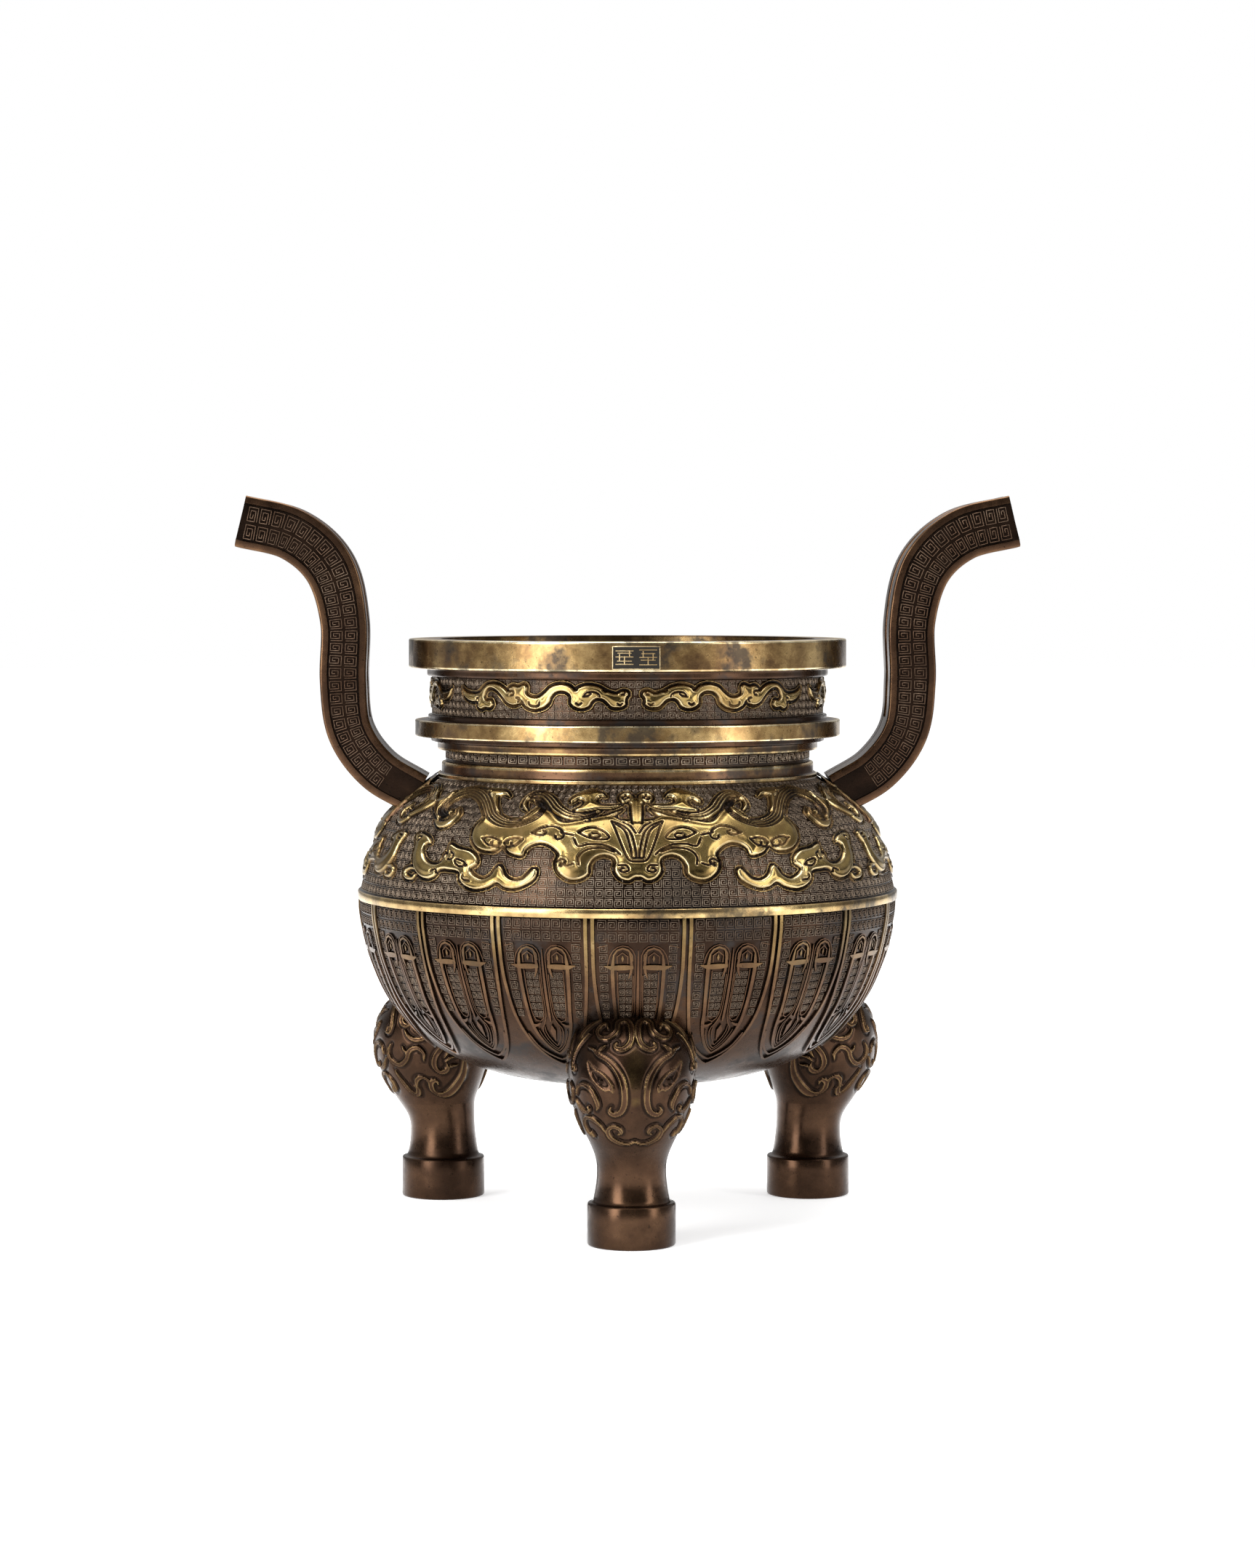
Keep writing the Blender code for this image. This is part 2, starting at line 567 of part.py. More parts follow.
def centre_on_ground(empty, nodes):
    """Moves the object so that the middle of its box stands over the origin."""
    bpy.context.view_layer.update()
    graph = bpy.context.evaluated_depsgraph_get()
    spans = []
    for node in nodes:
        mesh = node.evaluated_get(graph).to_mesh()
        spans += [vertex.co.y for vertex in mesh.vertices]
    empty.location.y = -(min(spans) + max(spans)) / 2


def main():
    clear_scene()
    parts = new_collection("bronze_censer")
    cutters = new_collection("cutters")
    stand = bpy.data.objects.new("censer", None)
    parts.objects.link(stand)
    dark = metal("patinated_bronze", (0.16, 0.10, 0.06), 0.42)
    brown = metal("handle_bronze", (0.20, 0.12, 0.07), 0.40)
    vessel = make_vessel(parts, stand, dark)
    shoulder = shoulder_cutter(cutters, stand)
    left = make_handle("handle_left", -1, parts, stand, brown, shoulder)
    right = make_handle("handle_right", 1, parts, stand, brown, shoulder)
    for node in (vessel, left, right):
        node.data.shade_smooth()
        node.data.set_sharp_from_angle(angle=math.radians(30))
    centre_on_ground(stand, (vessel, left, right))


main()
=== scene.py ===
"""The looks of a bronze censer: gilt masks and dragons on a ground of square spirals, lappets, masked knees.

Lengths are in millimetres and angles in degrees. Angles around the bowl start at the front leg and grow
towards the right handle. A turned surface is read by its arc length from its top.
"""

import itertools
import math

import bpy
import numpy as np
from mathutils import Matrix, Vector


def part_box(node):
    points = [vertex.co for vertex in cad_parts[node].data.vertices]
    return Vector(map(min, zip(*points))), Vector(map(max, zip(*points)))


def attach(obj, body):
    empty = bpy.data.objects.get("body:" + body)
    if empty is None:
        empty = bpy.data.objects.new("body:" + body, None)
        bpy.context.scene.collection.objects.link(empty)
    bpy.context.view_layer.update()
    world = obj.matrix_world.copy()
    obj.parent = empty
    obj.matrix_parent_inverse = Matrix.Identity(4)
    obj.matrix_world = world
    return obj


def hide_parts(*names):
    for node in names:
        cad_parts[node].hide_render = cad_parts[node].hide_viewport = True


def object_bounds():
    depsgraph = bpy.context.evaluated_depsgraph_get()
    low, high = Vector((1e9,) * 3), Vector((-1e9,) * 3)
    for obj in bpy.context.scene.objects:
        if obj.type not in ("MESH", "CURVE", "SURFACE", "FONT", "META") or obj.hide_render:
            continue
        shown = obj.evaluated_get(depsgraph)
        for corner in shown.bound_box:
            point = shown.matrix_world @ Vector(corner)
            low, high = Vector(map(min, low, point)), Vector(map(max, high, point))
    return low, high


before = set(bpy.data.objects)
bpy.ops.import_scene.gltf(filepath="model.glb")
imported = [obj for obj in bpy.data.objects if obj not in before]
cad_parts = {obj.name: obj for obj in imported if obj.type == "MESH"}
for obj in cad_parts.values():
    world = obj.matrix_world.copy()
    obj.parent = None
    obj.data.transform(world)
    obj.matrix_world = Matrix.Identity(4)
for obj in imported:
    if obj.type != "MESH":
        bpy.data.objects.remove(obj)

CAD_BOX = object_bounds()
MM = 0.001
LEFT_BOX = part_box("handle_left")
AXIS_Y = (LEFT_BOX[0][1] + LEFT_BOX[1][1]) / 2

# The bowl
TURNED_STEPS = 240
WALL = 4.5
BOWL_BASE_Z, BOWL_DEPTH = 75.2, 109.8
BELLY_RADIUS = 154.2
SHOULDER_HEIGHT, SHOULDER_TOP_RADIUS = 67.9, 109.4
BELLY_Z = BOWL_BASE_Z + BOWL_DEPTH
SHOULDER_TOP_Z = BELLY_Z + SHOULDER_HEIGHT
BAND_WIDTH, BAND_HEIGHT = 5.4, 1.6
SHOULDER_SHAPE = ((0.0, 0.0), (0.31, 0.15), (0.65, 0.36), (0.87, 0.655), (0.96, 0.88), (1.0, 1.0))
BOWL_SHAPE = (
    (1.0, 0.0), (0.995, 0.12), (0.957, 0.34), (0.871, 0.583), (0.7, 0.815), (0.43, 0.951), (0.0, 1.0),
)
# The mouldings from the shoulder up, as (height, radius, gilt share, brightness, corner radius)
MOULDINGS = (
    (2.0, 109.4, 0.8, 0.75, 0.5),
    # The round step's brightness holds a painted highlight across its face, besides its own tone.
    (6.6, 107.3, 0.25, 0.6, 1.9),
    (6.8, 104.4, 0.1, 0.38, 0.4),
    (5.0, 109.6, 0.5, 0.55, 1.3),
    (3.0, 113.4, 0.1, 0.45, 0.7),
    (9.3, 122.6, 0.74, 0.66, 0.8),
    (3.0, 115.0, 0.12, 0.4, 0.6),
    (22.1, 112.4, 0.05, 0.4, 0.4),
    (4.7, 115.6, 0.12, 0.5, 1.2),
    (16.6, 126.1, 0.7, 0.67, 1.1),
)
NECK_RADIUS = MOULDINGS[7][1]
RIM_RADIUS = MOULDINGS[9][1]
FRET_RADIUS = MOULDINGS[2][1]
FRET_LOW_Z = SHOULDER_TOP_Z + sum(step[0] for step in MOULDINGS[:2])
NECK_LOW_Z = SHOULDER_TOP_Z + sum(step[0] for step in MOULDINGS[:7])
NECK_HIGH_Z = NECK_LOW_Z + MOULDINGS[7][0]
RIM_TOP_Z = SHOULDER_TOP_Z + sum(step[0] for step in MOULDINGS)
RIM_LOW_Z = RIM_TOP_Z - MOULDINGS[9][0]

# The legs
LEG_CIRCLE, LEG_HEIGHT = 125.5, 130.5
FOOT_RADIUS, FOOT_HEIGHT, FOOT_CHAMFER = 24.4, 23.8, 1.0
ANKLE_FLARE, WAIST_RADIUS, WAIST_Z = 2.4, 19.1, 42.0
KNEE_RADIUS, KNEE_Z, KNEE_ROUNDNESS, CALF_FULLNESS = 34.9, 95.0, 2.7, 1.2
LEG_LEAN = ((0.0, 0.0), (0.32, 0.2), (0.46, 5.2), (0.66, 7.1), (0.83, 3.2), (1.0, -9.0))

# The handles
HANDLE_WIDTH, HANDLE_SLOT, SLOT_FROM_ROOT, CROSSBAR = 46.0, 14.0, 60.0, 12.0
HANDLE_PATH = (
    (121.0, 243.0, 24.0), (144.0, 257.0, 25.0), (159.5, 279.0, 25.5), (163.2, 308.0, 26.5),
    (162.8, 342.0, 26.5), (171.0, 372.5, 29.0), (191.5, 391.5, 30.0), (221.4, 399.3, 30.0),
)
COLLAR_MARGIN, COLLAR_THICKNESS, COLLAR_LOW_Z = 4.0, 3.2, 225.0

# The ornament
ORNAMENT_TURN = 1.2
MASKS, LAPPETS, LEGS = 3, 18, 3
GROUND_SINK = 0.5
MASK_MM_A_DEGREE, MASK_SPACING, MASK_HALF_ANGLE, MASK_HEIGHTS = 2.45, 0.56, 61.0, (251.6, 194.0)
NECK_MM_A_DEGREE, DRAGON_SPACING, DRAGON_HALF_ANGLE, DRAGON_HEIGHTS = 1.96, 0.45, 60.0, (310.6, 291.4)
HANDLE_RINGS = 96


def smooth_line(points, steps, closed=False):
    """Evenly spaced places along a smooth curve through the points."""
    points = np.array(points, float)
    if closed:
        ends = np.vstack([points[-1], points, points[:2]])
    else:
        ends = np.vstack([2 * points[0] - points[1], points, 2 * points[-1] - points[-2]])
    t = np.linspace(0.0, 1.0, 12, endpoint=False)[:, None]
    fine = []
    for first in range(len(ends) - 3):
        a, b, c, d = ends[first : first + 4]
        fine.append(0.5 * (2 * b + (c - a) * t + (2 * a - 5 * b + 4 * c - d) * t**2
                           + (3 * b - a - 3 * c + d) * t**3))
    fine = np.vstack(fine + [ends[-2:-1]])
    run = np.concatenate([[0.0], np.cumsum(np.linalg.norm(np.diff(fine[:, :2], axis=0), axis=1))])
    places = np.linspace(0.0, run[-1], steps)
    return np.stack([np.interp(places, run, column) for column in fine.T], axis=1)


def smoothstep(low, high, value):
    t = np.clip((value - low) / (high - low), 0.0, 1.0)
    return t * t * (3 - 2 * t)


class Turned:
    """A surface turned from an outline that runs down from its top, with an axis that may lean outwards."""

    def __init__(self, outline, lean=None):
        self.r, self.z = np.array(outline, float).T
        steps = np.hypot(np.diff(self.r), np.diff(self.z))
        self.s = np.concatenate([[0.0], np.cumsum(steps)])
        dr, dz = np.gradient(self.r, self.s), np.gradient(self.z, self.s)
        length = np.hypot(dr, dz)
        self.nr, self.nz = -dz / length, dr / length
        self.out = np.zeros(len(self.r)) if lean is None else lean(self.z)

    def arc(self, z):
        return np.interp(-np.asarray(z, float), -self.z, self.s)

    def radius(self, s):
        return np.interp(s, self.s, self.r)

    def place(self, angle, s, lift):
        turn = np.radians(angle)
        radius = np.interp(s, self.s, self.r) + lift * np.interp(s, self.s, self.nr)
        z = np.interp(s, self.s, self.z) + lift * np.interp(s, self.s, self.nz)
        out = np.interp(s, self.s, self.out)
        return np.stack([radius * np.sin(turn), -out - radius * np.cos(turn), z], axis=-1)


def body_outline():
    """The outer side without its mouldings, from the top of the shoulder to the middle of the bottom."""
    top, out = SHOULDER_TOP_RADIUS, BELLY_RADIUS - SHOULDER_TOP_RADIUS
    shoulder = [(top + out * x, SHOULDER_TOP_Z - SHOULDER_HEIGHT * y) for x, y in SHOULDER_SHAPE]
    bowl = [(BELLY_RADIUS * x, BELLY_Z - BOWL_DEPTH * y) for x, y in BOWL_SHAPE]
    return np.vstack([smooth_line(shoulder, 60)[:-1], smooth_line(bowl, 120)])


def leg_radius(z):
    """A leg's radius: the foot, the flare above it, the calf and the round knee."""
    if z <= FOOT_HEIGHT:
        return FOOT_RADIUS
    if z < WAIST_Z:
        return WAIST_RADIUS + ANKLE_FLARE * ((WAIST_Z - z) / (WAIST_Z - FOOT_HEIGHT)) ** 2
    if z < KNEE_Z:
        share = ((KNEE_Z - z) / (KNEE_Z - WAIST_Z)) ** CALF_FULLNESS
        return WAIST_RADIUS + (KNEE_RADIUS - WAIST_RADIUS) * (0.5 + 0.5 * math.cos(math.pi * share))
    share = min((z - KNEE_Z) / (LEG_HEIGHT - KNEE_Z), 0.9999)
    return KNEE_RADIUS * (1.0 - share**KNEE_ROUNDNESS) ** (1.0 / KNEE_ROUNDNESS)


def leg_lean(z):
    """How far the middle of a leg stands from the bowl's axis."""
    line = smooth_line(LEG_LEAN, 60)
    return LEG_CIRCLE + np.interp(z / LEG_HEIGHT, line[:, 0], line[:, 1])


def leg_outline():
    """A leg's outline from the crown of the knee down to the ankle."""
    crown = KNEE_Z + (LEG_HEIGHT - KNEE_Z) * np.cos(np.linspace(0.04, math.pi / 2, 60))
    calf = np.linspace(KNEE_Z, FOOT_HEIGHT + FOOT_CHAMFER, 90)[1:]
    return [(leg_radius(z), z) for z in (*crown, *calf)]


BODY = Turned(body_outline())
NECK = Turned([(NECK_RADIUS, NECK_HIGH_Z), (NECK_RADIUS, NECK_LOW_Z)])
FRET = Turned([(FRET_RADIUS, FRET_LOW_Z + MOULDINGS[2][0]), (FRET_RADIUS, FRET_LOW_Z)])
KNEE = Turned(leg_outline(), leg_lean)


# Meshes from arrays of places

def make_piece(name, points, faces, lift, gilt, material, slot="patinated_bronze", angle=None):
    """A mesh from places in millimetres about the bowl's axis, with how bright and how gilt each one is; the
    brightness holds painted light in places.
    """
    if angle is not None:
        turn = math.radians(angle)
        cos, sin = math.cos(turn), math.sin(turn)
        points = points @ np.array([[cos, sin, 0.0], [-sin, cos, 0.0], [0.0, 0.0, 1.0]])
    used, index = np.unique(faces, return_inverse=True)
    faces = index.reshape(faces.shape)
    points = np.clip(points[used] * MM + np.array([0.0, AXIS_Y, 0.0]), *CAD_BOX)
    mesh = bpy.data.meshes.new(name)
    mesh.vertices.add(len(points))
    mesh.vertices.foreach_set("co", points.astype(np.float32).ravel())
    mesh.loops.add(faces.size)
    mesh.loops.foreach_set("vertex_index", faces.astype(np.int32).ravel())
    mesh.polygons.add(len(faces))
    mesh.polygons.foreach_set("loop_start", np.arange(len(faces), dtype=np.int32) * faces.shape[1])
    mesh.update(calc_edges=True)
    mesh.validate()
    for label, values in (("lift", lift), ("gilt", gilt)):
        attribute = mesh.attributes.new(label, "FLOAT", "POINT")
        values = np.broadcast_to(values, (used.max() + 1,))[used] if np.ndim(values) == 0 else values[used]
        attribute.data.foreach_set("value", values.astype(np.float32))
    mesh.shade_smooth()
    mesh.materials.append(material)
    piece = bpy.data.objects.new(name, mesh)
    bpy.context.scene.collection.objects.link(piece)
    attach(piece, "root")
    return piece


def grid_faces(rows, columns, closed=False):
    """Quads of a grid whose rows run down and whose columns run with the angle."""
    row = np.arange(rows - 1)[:, None] * columns
    column = np.arange(columns if closed else columns - 1)[None, :]
    after = (column + 1) % columns
    below = row + columns
    return np.stack([row + column, below + column, below + after, row + after], axis=-1).reshape(-1, 4)


# Fields: how far a place is outside an outline, less than nothing inside

def segment_distance(u, v, line):
    """The distance from each place to a line of (u, v, half width), less the width there."""
    best = np.full(u.shape, 1e9)
    for (au, av, aw), (bu, bv, bw) in zip(line, line[1:]):
        du, dv = bu - au, bv - av
        square = du * du + dv * dv + 1e-12
        t = np.clip(((u - au) * du + (v - av) * dv) / square, 0.0, 1.0)
        reach = np.sqrt((u - au - t * du) ** 2 + (v - av - t * dv) ** 2) - (aw + t * (bw - aw))
        best = np.minimum(best, reach)
    return best


def plate_distance(u, v, loop):
    """The distance to a closed outline, negative inside it."""
    line = np.column_stack([loop, np.zeros(len(loop))])
    reach = segment_distance(u, v, line)
    inside = np.zeros(u.shape, bool)
    for (au, av), (bu, bv) in zip(loop, loop[1:]):
        if av == bv:
            continue
        crosses = (av > v) != (bv > v)
        inside ^= crosses & (u < (bu - au) * (v - av) / (bv - av) + au)
    return np.where(inside, -reach, reach)


class Relief:
    """Half of a mirrored relief on a turned surface, as fields over a grid of angles and arc lengths."""

    def __init__(self, surface, metric, spacing, angles, heights):
        self.surface, self.metric = surface, metric
        high, low = surface.arc(heights[0]), surface.arc(heights[1])
        self.angles = np.linspace(0.0, angles, round(angles * metric / spacing) + 1)
        self.arcs = np.linspace(high, low, round((low - high) / spacing) + 1)
        self.u, self.v = np.meshgrid(self.angles * metric, self.arcs)
        self.far = np.full(self.u.shape, 1e9)
        self.cut = np.full(self.u.shape, 1e9)

    def flat(self, points, steps_per_mm=0.8, closed=False):
        """Places (angle, height, width) as a smooth line of (u, v, half width)."""
        rows = []
        for angle, z, *width in points:
            rows.append((angle * self.metric, float(self.surface.arc(z)), width[0] / 2 if width else 0.0))
        length = sum(math.dist(a[:2], b[:2]) for a, b in zip(rows, rows[1:]))
        return smooth_line(rows, max(8, round(length * steps_per_mm)), closed)

    def add_strokes(self, strokes):
        for stroke in strokes:
            self.far = np.minimum(self.far, segment_distance(self.u, self.v, self.flat(stroke)))

    def add_plate(self, points):
        loop = self.flat(points, closed=True)[:, :2]
        self.far = np.minimum(self.far, plate_distance(self.u, self.v, loop))

    def engrave(self, lines, width):
        for line in lines:
            flat = self.flat(line)
            flat[:, 2] = width / 2
            self.cut = np.minimum(self.cut, segment_distance(self.u, self.v, flat))

    def engrave_along(self, stroke, shares, width):
        """Lines that run with a stroke, at shares of its half width."""
        line = self.flat(stroke)
        along = np.gradient(line[:, :2], axis=0)
        along /= np.linalg.norm(along, axis=1)[:, None]
        across = np.stack([-along[:, 1], along[:, 0]], axis=1) * line[:, 2:]
        for share in shares:
            side = np.column_stack([line[:, :2] + across * share, np.full(len(line), width / 2)])
            self.cut = np.minimum(self.cut, segment_distance(self.u, self.v, side[2:-2]))

    def far_at(self, angle, s):
        """The field at places given by their angle from the relief's middle."""
        column = np.clip(np.searchsorted(self.angles, np.abs(angle)), 0, len(self.angles) - 1)
        row = np.clip(np.searchsorted(self.arcs, s), 0, len(self.arcs) - 1)
        outside = (np.abs(angle) > self.angles[-1]) | (s < self.arcs[0]) | (s > self.arcs[-1])
        return np.where(outside, 1e9, self.far[row, column])

    def whole(self):
        """Angles, arcs and both fields over the whole relief, mirrored."""
        angles = np.concatenate([-self.angles[:0:-1], self.angles])
        far = np.hstack([self.far[:, :0:-1], self.far])
        cut = np.hstack([self.cut[:, :0:-1], self.cut])
        return angles, self.arcs, far, cut


CONTOUR_AT, CONTOUR_HALF, PATCH_EDGE = 1.3, 0.55, 1.85


def gilt_heights(far, cut, height, crown, groove):
    """A gilt figure's height: a swelling plate, a soft rim, a groove and a thin raised contour outside."""
    plate = smoothstep(0.25, -1.1, far) * height + crown * smoothstep(-0.6, -5.5, far)
    rim = 0.2 * smoothstep(0.8, 0.0, np.abs(far + 1.2))
    contour = 0.8 * height * smoothstep(CONTOUR_HALF, 0.1, np.abs(far - CONTOUR_AT))
    edge = smoothstep(PATCH_EDGE, PATCH_EDGE + 0.5, far)
    cuts = groove * smoothstep(0.42, -0.1, cut) * smoothstep(-0.1, -0.7, far)
    banks = 0.22 * smoothstep(0.55, 0.0, np.abs(cut - 0.75)) * smoothstep(-0.3, -0.9, far)
    return plate + rim + contour + 0.12 - cuts + banks - GROUND_SINK * 1.6 * edge


def gilt_shades(far, cut):
    """How high each place is, from 0 in the grooves to 1 on top, and how gilt it is."""
    top = smoothstep(0.0, -0.5, far) * (1.0 - smoothstep(0.42, -0.05, cut))
    contour = smoothstep(CONTOUR_HALF, 0.1, np.abs(far - CONTOUR_AT))
    rim = smoothstep(0.9, 0.1, np.abs(far + 1.0))
    near_cut = smoothstep(0.95, 0.5, cut) * smoothstep(0.1, 0.5, cut)
    # The plate's rim and the banks beside its cuts are brightened: partly rubbed metal, partly painted
    # highlight.
    lift = np.clip(0.58 * top + 0.25 * np.maximum(rim, near_cut) * top + 0.7 * contour, 0.0, 1.0)
    return lift, np.clip(np.maximum(top, contour * 0.85), 0.0, 1.0)


def relief_mesh(relief, height, crown, groove):
    """Points, faces and shades of a whole mirrored relief about the front."""
    angles, arcs, far, cut = relief.whole()
    grid_angle, grid_arc = np.meshgrid(angles, arcs)
    lift = gilt_heights(far, cut, height, crown, groove)
    points = relief.surface.place(grid_angle, grid_arc, lift).reshape(-1, 3)
    faces = grid_faces(len(arcs), len(angles))
    near = (far < PATCH_EDGE + 0.75).ravel()
    faces = faces[near[faces].all(axis=1)]
    high, gilt = gilt_shades(far, cut)
    return points, faces, high.ravel(), gilt.ravel()


# The shoulder's masks, as half of one: closed outlines and strokes of (angle, height, width)
FACE_OUTLINE = (
    (-3, 233), (3, 233.8), (6.5, 236.5), (13, 234), (17.5, 233), (21, 238), (24.5, 240), (28, 233.5),
    (33, 232), (37.5, 235), (39.2, 231), (39.6, 226.5), (38.8, 221.5), (36.7, 217.8), (34, 216.4),
    (31.8, 217), (30.4, 219.6), (28.8, 216.4), (26.8, 214.8), (25.1, 214.8), (24.6, 218.4), (23, 220.9),
    (21, 221.5), (18.9, 219.6), (17.2, 215.8), (17.7, 211.5), (16.9, 206.5), (14.6, 202.7), (12.1, 202.9),
    (10.3, 205.9), (10.2, 210.5), (9.2, 214.2), (7.4, 215.9), (5.4, 214.6), (4.9, 212), (5.1, 208),
    (3.8, 203.6), (1.9, 202.3), (0.3, 204.3), (-3, 204.3),
)
DRAGON_HEAD_OUTLINE = (
    (44.9, 219.6), (42, 217.8), (38.6, 216.6), (36.5, 213.7), (35.7, 209.8), (37.2, 207.3), (36.7, 204.7),
    (34.3, 202.2), (32.2, 204), (31.2, 207.7), (30.2, 209.8), (29.2, 207.5), (28.4, 204.3), (26.6, 202.2),
    (24.6, 203), (23.2, 206.4), (22.2, 208.7), (21.3, 207.4), (21.7, 203), (23.6, 199.3), (26.2, 197),
    (28.6, 197.6), (30.4, 199.9), (32.4, 197.3), (35.5, 195.8), (38.3, 197.6), (39.9, 201), (40.3, 204.5),
    (42.6, 205.6), (45.7, 205.5), (46.8, 202), (49.3, 199.9), (52.2, 201.4), (54.6, 205.6), (56, 211),
    (56.6, 218), (57.8, 222.3), (56.4, 224.3), (54.4, 223.8), (52.4, 222.3), (50.9, 219.2), (52.7, 218.4),
    (52.7, 213.8), (50.8, 210), (48.2, 208.5), (46, 210), (45.5, 214.8), (44.7, 213),
)
FIN_OUTLINE = (
    (55.5, 246.5), (58, 243.2), (60.2, 240.6), (58, 236.5), (55, 233.2), (52.6, 231), (53, 234.5),
    (55.6, 239.5),
)
CREST_OUTLINE = (
    (3.4, 241.9), (6, 239.6), (9.2, 239.4), (13, 238.2), (15.6, 238.6), (14, 240.6), (13.4, 243.2),
    (14.8, 244.5), (16.4, 242.3), (17.2, 243.8), (16, 246.3), (13.8, 248.2), (11.4, 249.4), (9.2, 248.4),
    (7.6, 245.6), (9.4, 245.8), (10, 243.6), (8.6, 241.9), (6.3, 241.4),
)
PLUME = (
    (27.4, 243.8, 1.6), (25.2, 242.8, 3), (23.2, 239.6, 4.6), (23.9, 234.6, 6), (27.5, 231.2, 6.8),
    (31.8, 231.2, 7.6), (35.8, 234.4, 8.4), (39.2, 240, 8.8), (42.5, 244.2, 8.6), (46.3, 246.6, 7.6),
    (50, 247, 7), (53.6, 244.4, 7.4), (55, 239.8, 6.6), (53.8, 235.6, 5.4), (51.4, 234, 3.6),
    (49.9, 236, 2.2),
)
HORN = (
    (9, 238.6, 2), (12.5, 235.9, 4.2), (16, 236, 5.2), (19.5, 239, 6.4), (22.2, 243.4, 6.2),
    (25, 246.4, 4.6), (27.8, 246.6, 3.6), (29.2, 243.8, 3), (28.8, 240.4, 3.4), (27.3, 238.2, 1.2),
)
MASK_STROKES = (
    ((0, 243, 8), (0, 237, 7), (0, 231, 6.4)),
    ((1.2, 243, 4), (1.2, 246.2, 3), (2.8, 247.4, 2.4), (4.1, 245.6, 2.2), (3.2, 243.4, 2.2),
     (1.8, 244.6, 2)),
    ((3.4, 239.4, 0.6), (5.4, 237, 2.4), (7.3, 235.4, 3), (8, 233.4, 2.2)),
    HORN,
    PLUME,
    ((53.5, 231, 2.4), (51, 229.2, 4.4), (48.4, 230.6, 5), (46.9, 234.4, 3.6), (48.3, 237.6, 1.2)),
    ((44, 247, 4), (40, 246.6, 6), (37.2, 246.9, 3.6), (34.6, 245.1, 0.6)),
    ((39.8, 246, 4), (38.4, 242.5, 4.4), (36.8, 239.6, 3), (34.6, 236.6, 0.8)),
    ((53, 204.6, 1.5), (55.6, 205.3, 2.2), (57.4, 203, 3), (56.5, 200.2, 3), (54.3, 199.8, 2.6),
     (53.4, 202, 1.8)),
)
MASK_ENGRAVING = (
    ((5.8, 232.6), (4.4, 226), (2.6, 216), (1.6, 212.6), (0, 212.2)),
    ((5.8, 232.6), (3.2, 230.6), (1.4, 226.5), (0.5, 219), (0.4, 214.6)),
    ((4.9, 231.4), (2.7, 227.6), (1.5, 219), (1.2, 214.4), (0, 214.2)),
    ((3.1, 232.4), (1.6, 230.4), (0.4, 226.8)),
    ((2, 242), (1.5, 236), (1.1, 231.4)),
    ((13.2, 227), (11.4, 228.9), (9.4, 229.3), (7.4, 227.6), (6.2, 224.3), (8.4, 223.6), (10.8, 224.6),
     (13.2, 227)),
    ((9.9, 226.6), (8.5, 226.6), (8.3, 224.9), (9.6, 224.5), (10.4, 225.6)),
    ((23.8, 226.3), (21.5, 229), (18.8, 229.8), (16.8, 227.4), (16.4, 224.4), (17.8, 223.4), (18.2, 225)),
    ((23.8, 226.3), (21.6, 225.4), (20.4, 226.6), (21.2, 227.6)),
    ((17, 226.8), (14.2, 225.7)),
    ((13.9, 223.6), (12.8, 220), (10.6, 221.2), (7.6, 221), (5, 218.6), (3.8, 216)),
    ((12.4, 210.4), (12.6, 214.6), (11, 218.2), (7.8, 219.4), (5, 217.4)),
    ((16.4, 209.8), (15.2, 211.6), (16.2, 213.6), (17.2, 212.2)),
    ((13.6, 211), (15, 210), (16.4, 211.4)),
    ((35.9, 222.9), (33.6, 223.6), (31.2, 221.8), (31.4, 219.4), (33.2, 219.6), (33, 221.2)),
    ((35.9, 222.9), (34.4, 220.2), (33.4, 219.6)),
    ((25.6, 223), (27.8, 223.5), (29.8, 221.8), (29.6, 219.4), (28, 219.6), (28.2, 221.2)),
    ((25.6, 223), (26.8, 220.2), (27.9, 219.6)),
    ((4, 210.4), (2.4, 210.2), (1.9, 207.6), (3.3, 206.9), (3.8, 208.4), (2.9, 208.8)),
    ((42.7, 248.2), (41.4, 247.7), (41.6, 246.4), (42.7, 246.6)),
    ((38.4, 208.6), (39.4, 210.4), (41.6, 211.4), (41.2, 208.8), (39.9, 207.6), (38.4, 208.6)),
    ((43.8, 215.4), (42.4, 213.4), (43, 211), (44.2, 211.6)),
    ((38.9, 203.6), (38.8, 201.2), (37, 200.6)),
    ((56.4, 221.8), (55, 222.2), (55, 220.2), (56, 220)),
    ((48.2, 204.6), (47, 205.6), (46.6, 204)),
    ((11.9, 232.8), (10.9, 232.6), (11.2, 234.4), (12.4, 234.6)),
    ((15.4, 243), (15.4, 241.8), (14.2, 242.4)),
)


def mask_relief():
    """The shoulder's monster mask with the dragons at its sides."""
    relief = Relief(BODY, MASK_MM_A_DEGREE, MASK_SPACING, MASK_HALF_ANGLE, MASK_HEIGHTS)
    for outline in (FACE_OUTLINE, DRAGON_HEAD_OUTLINE, FIN_OUTLINE, CREST_OUTLINE):
        relief.add_plate(outline)
    relief.add_strokes(MASK_STROKES)
    relief.engrave(MASK_ENGRAVING, 0.7)
    relief.engrave_along(PLUME, (-0.62, -0.2, 0.22, 0.64), 0.5)
    relief.engrave_along(HORN[:8], (-0.35, 0.35), 0.5)
    return relief


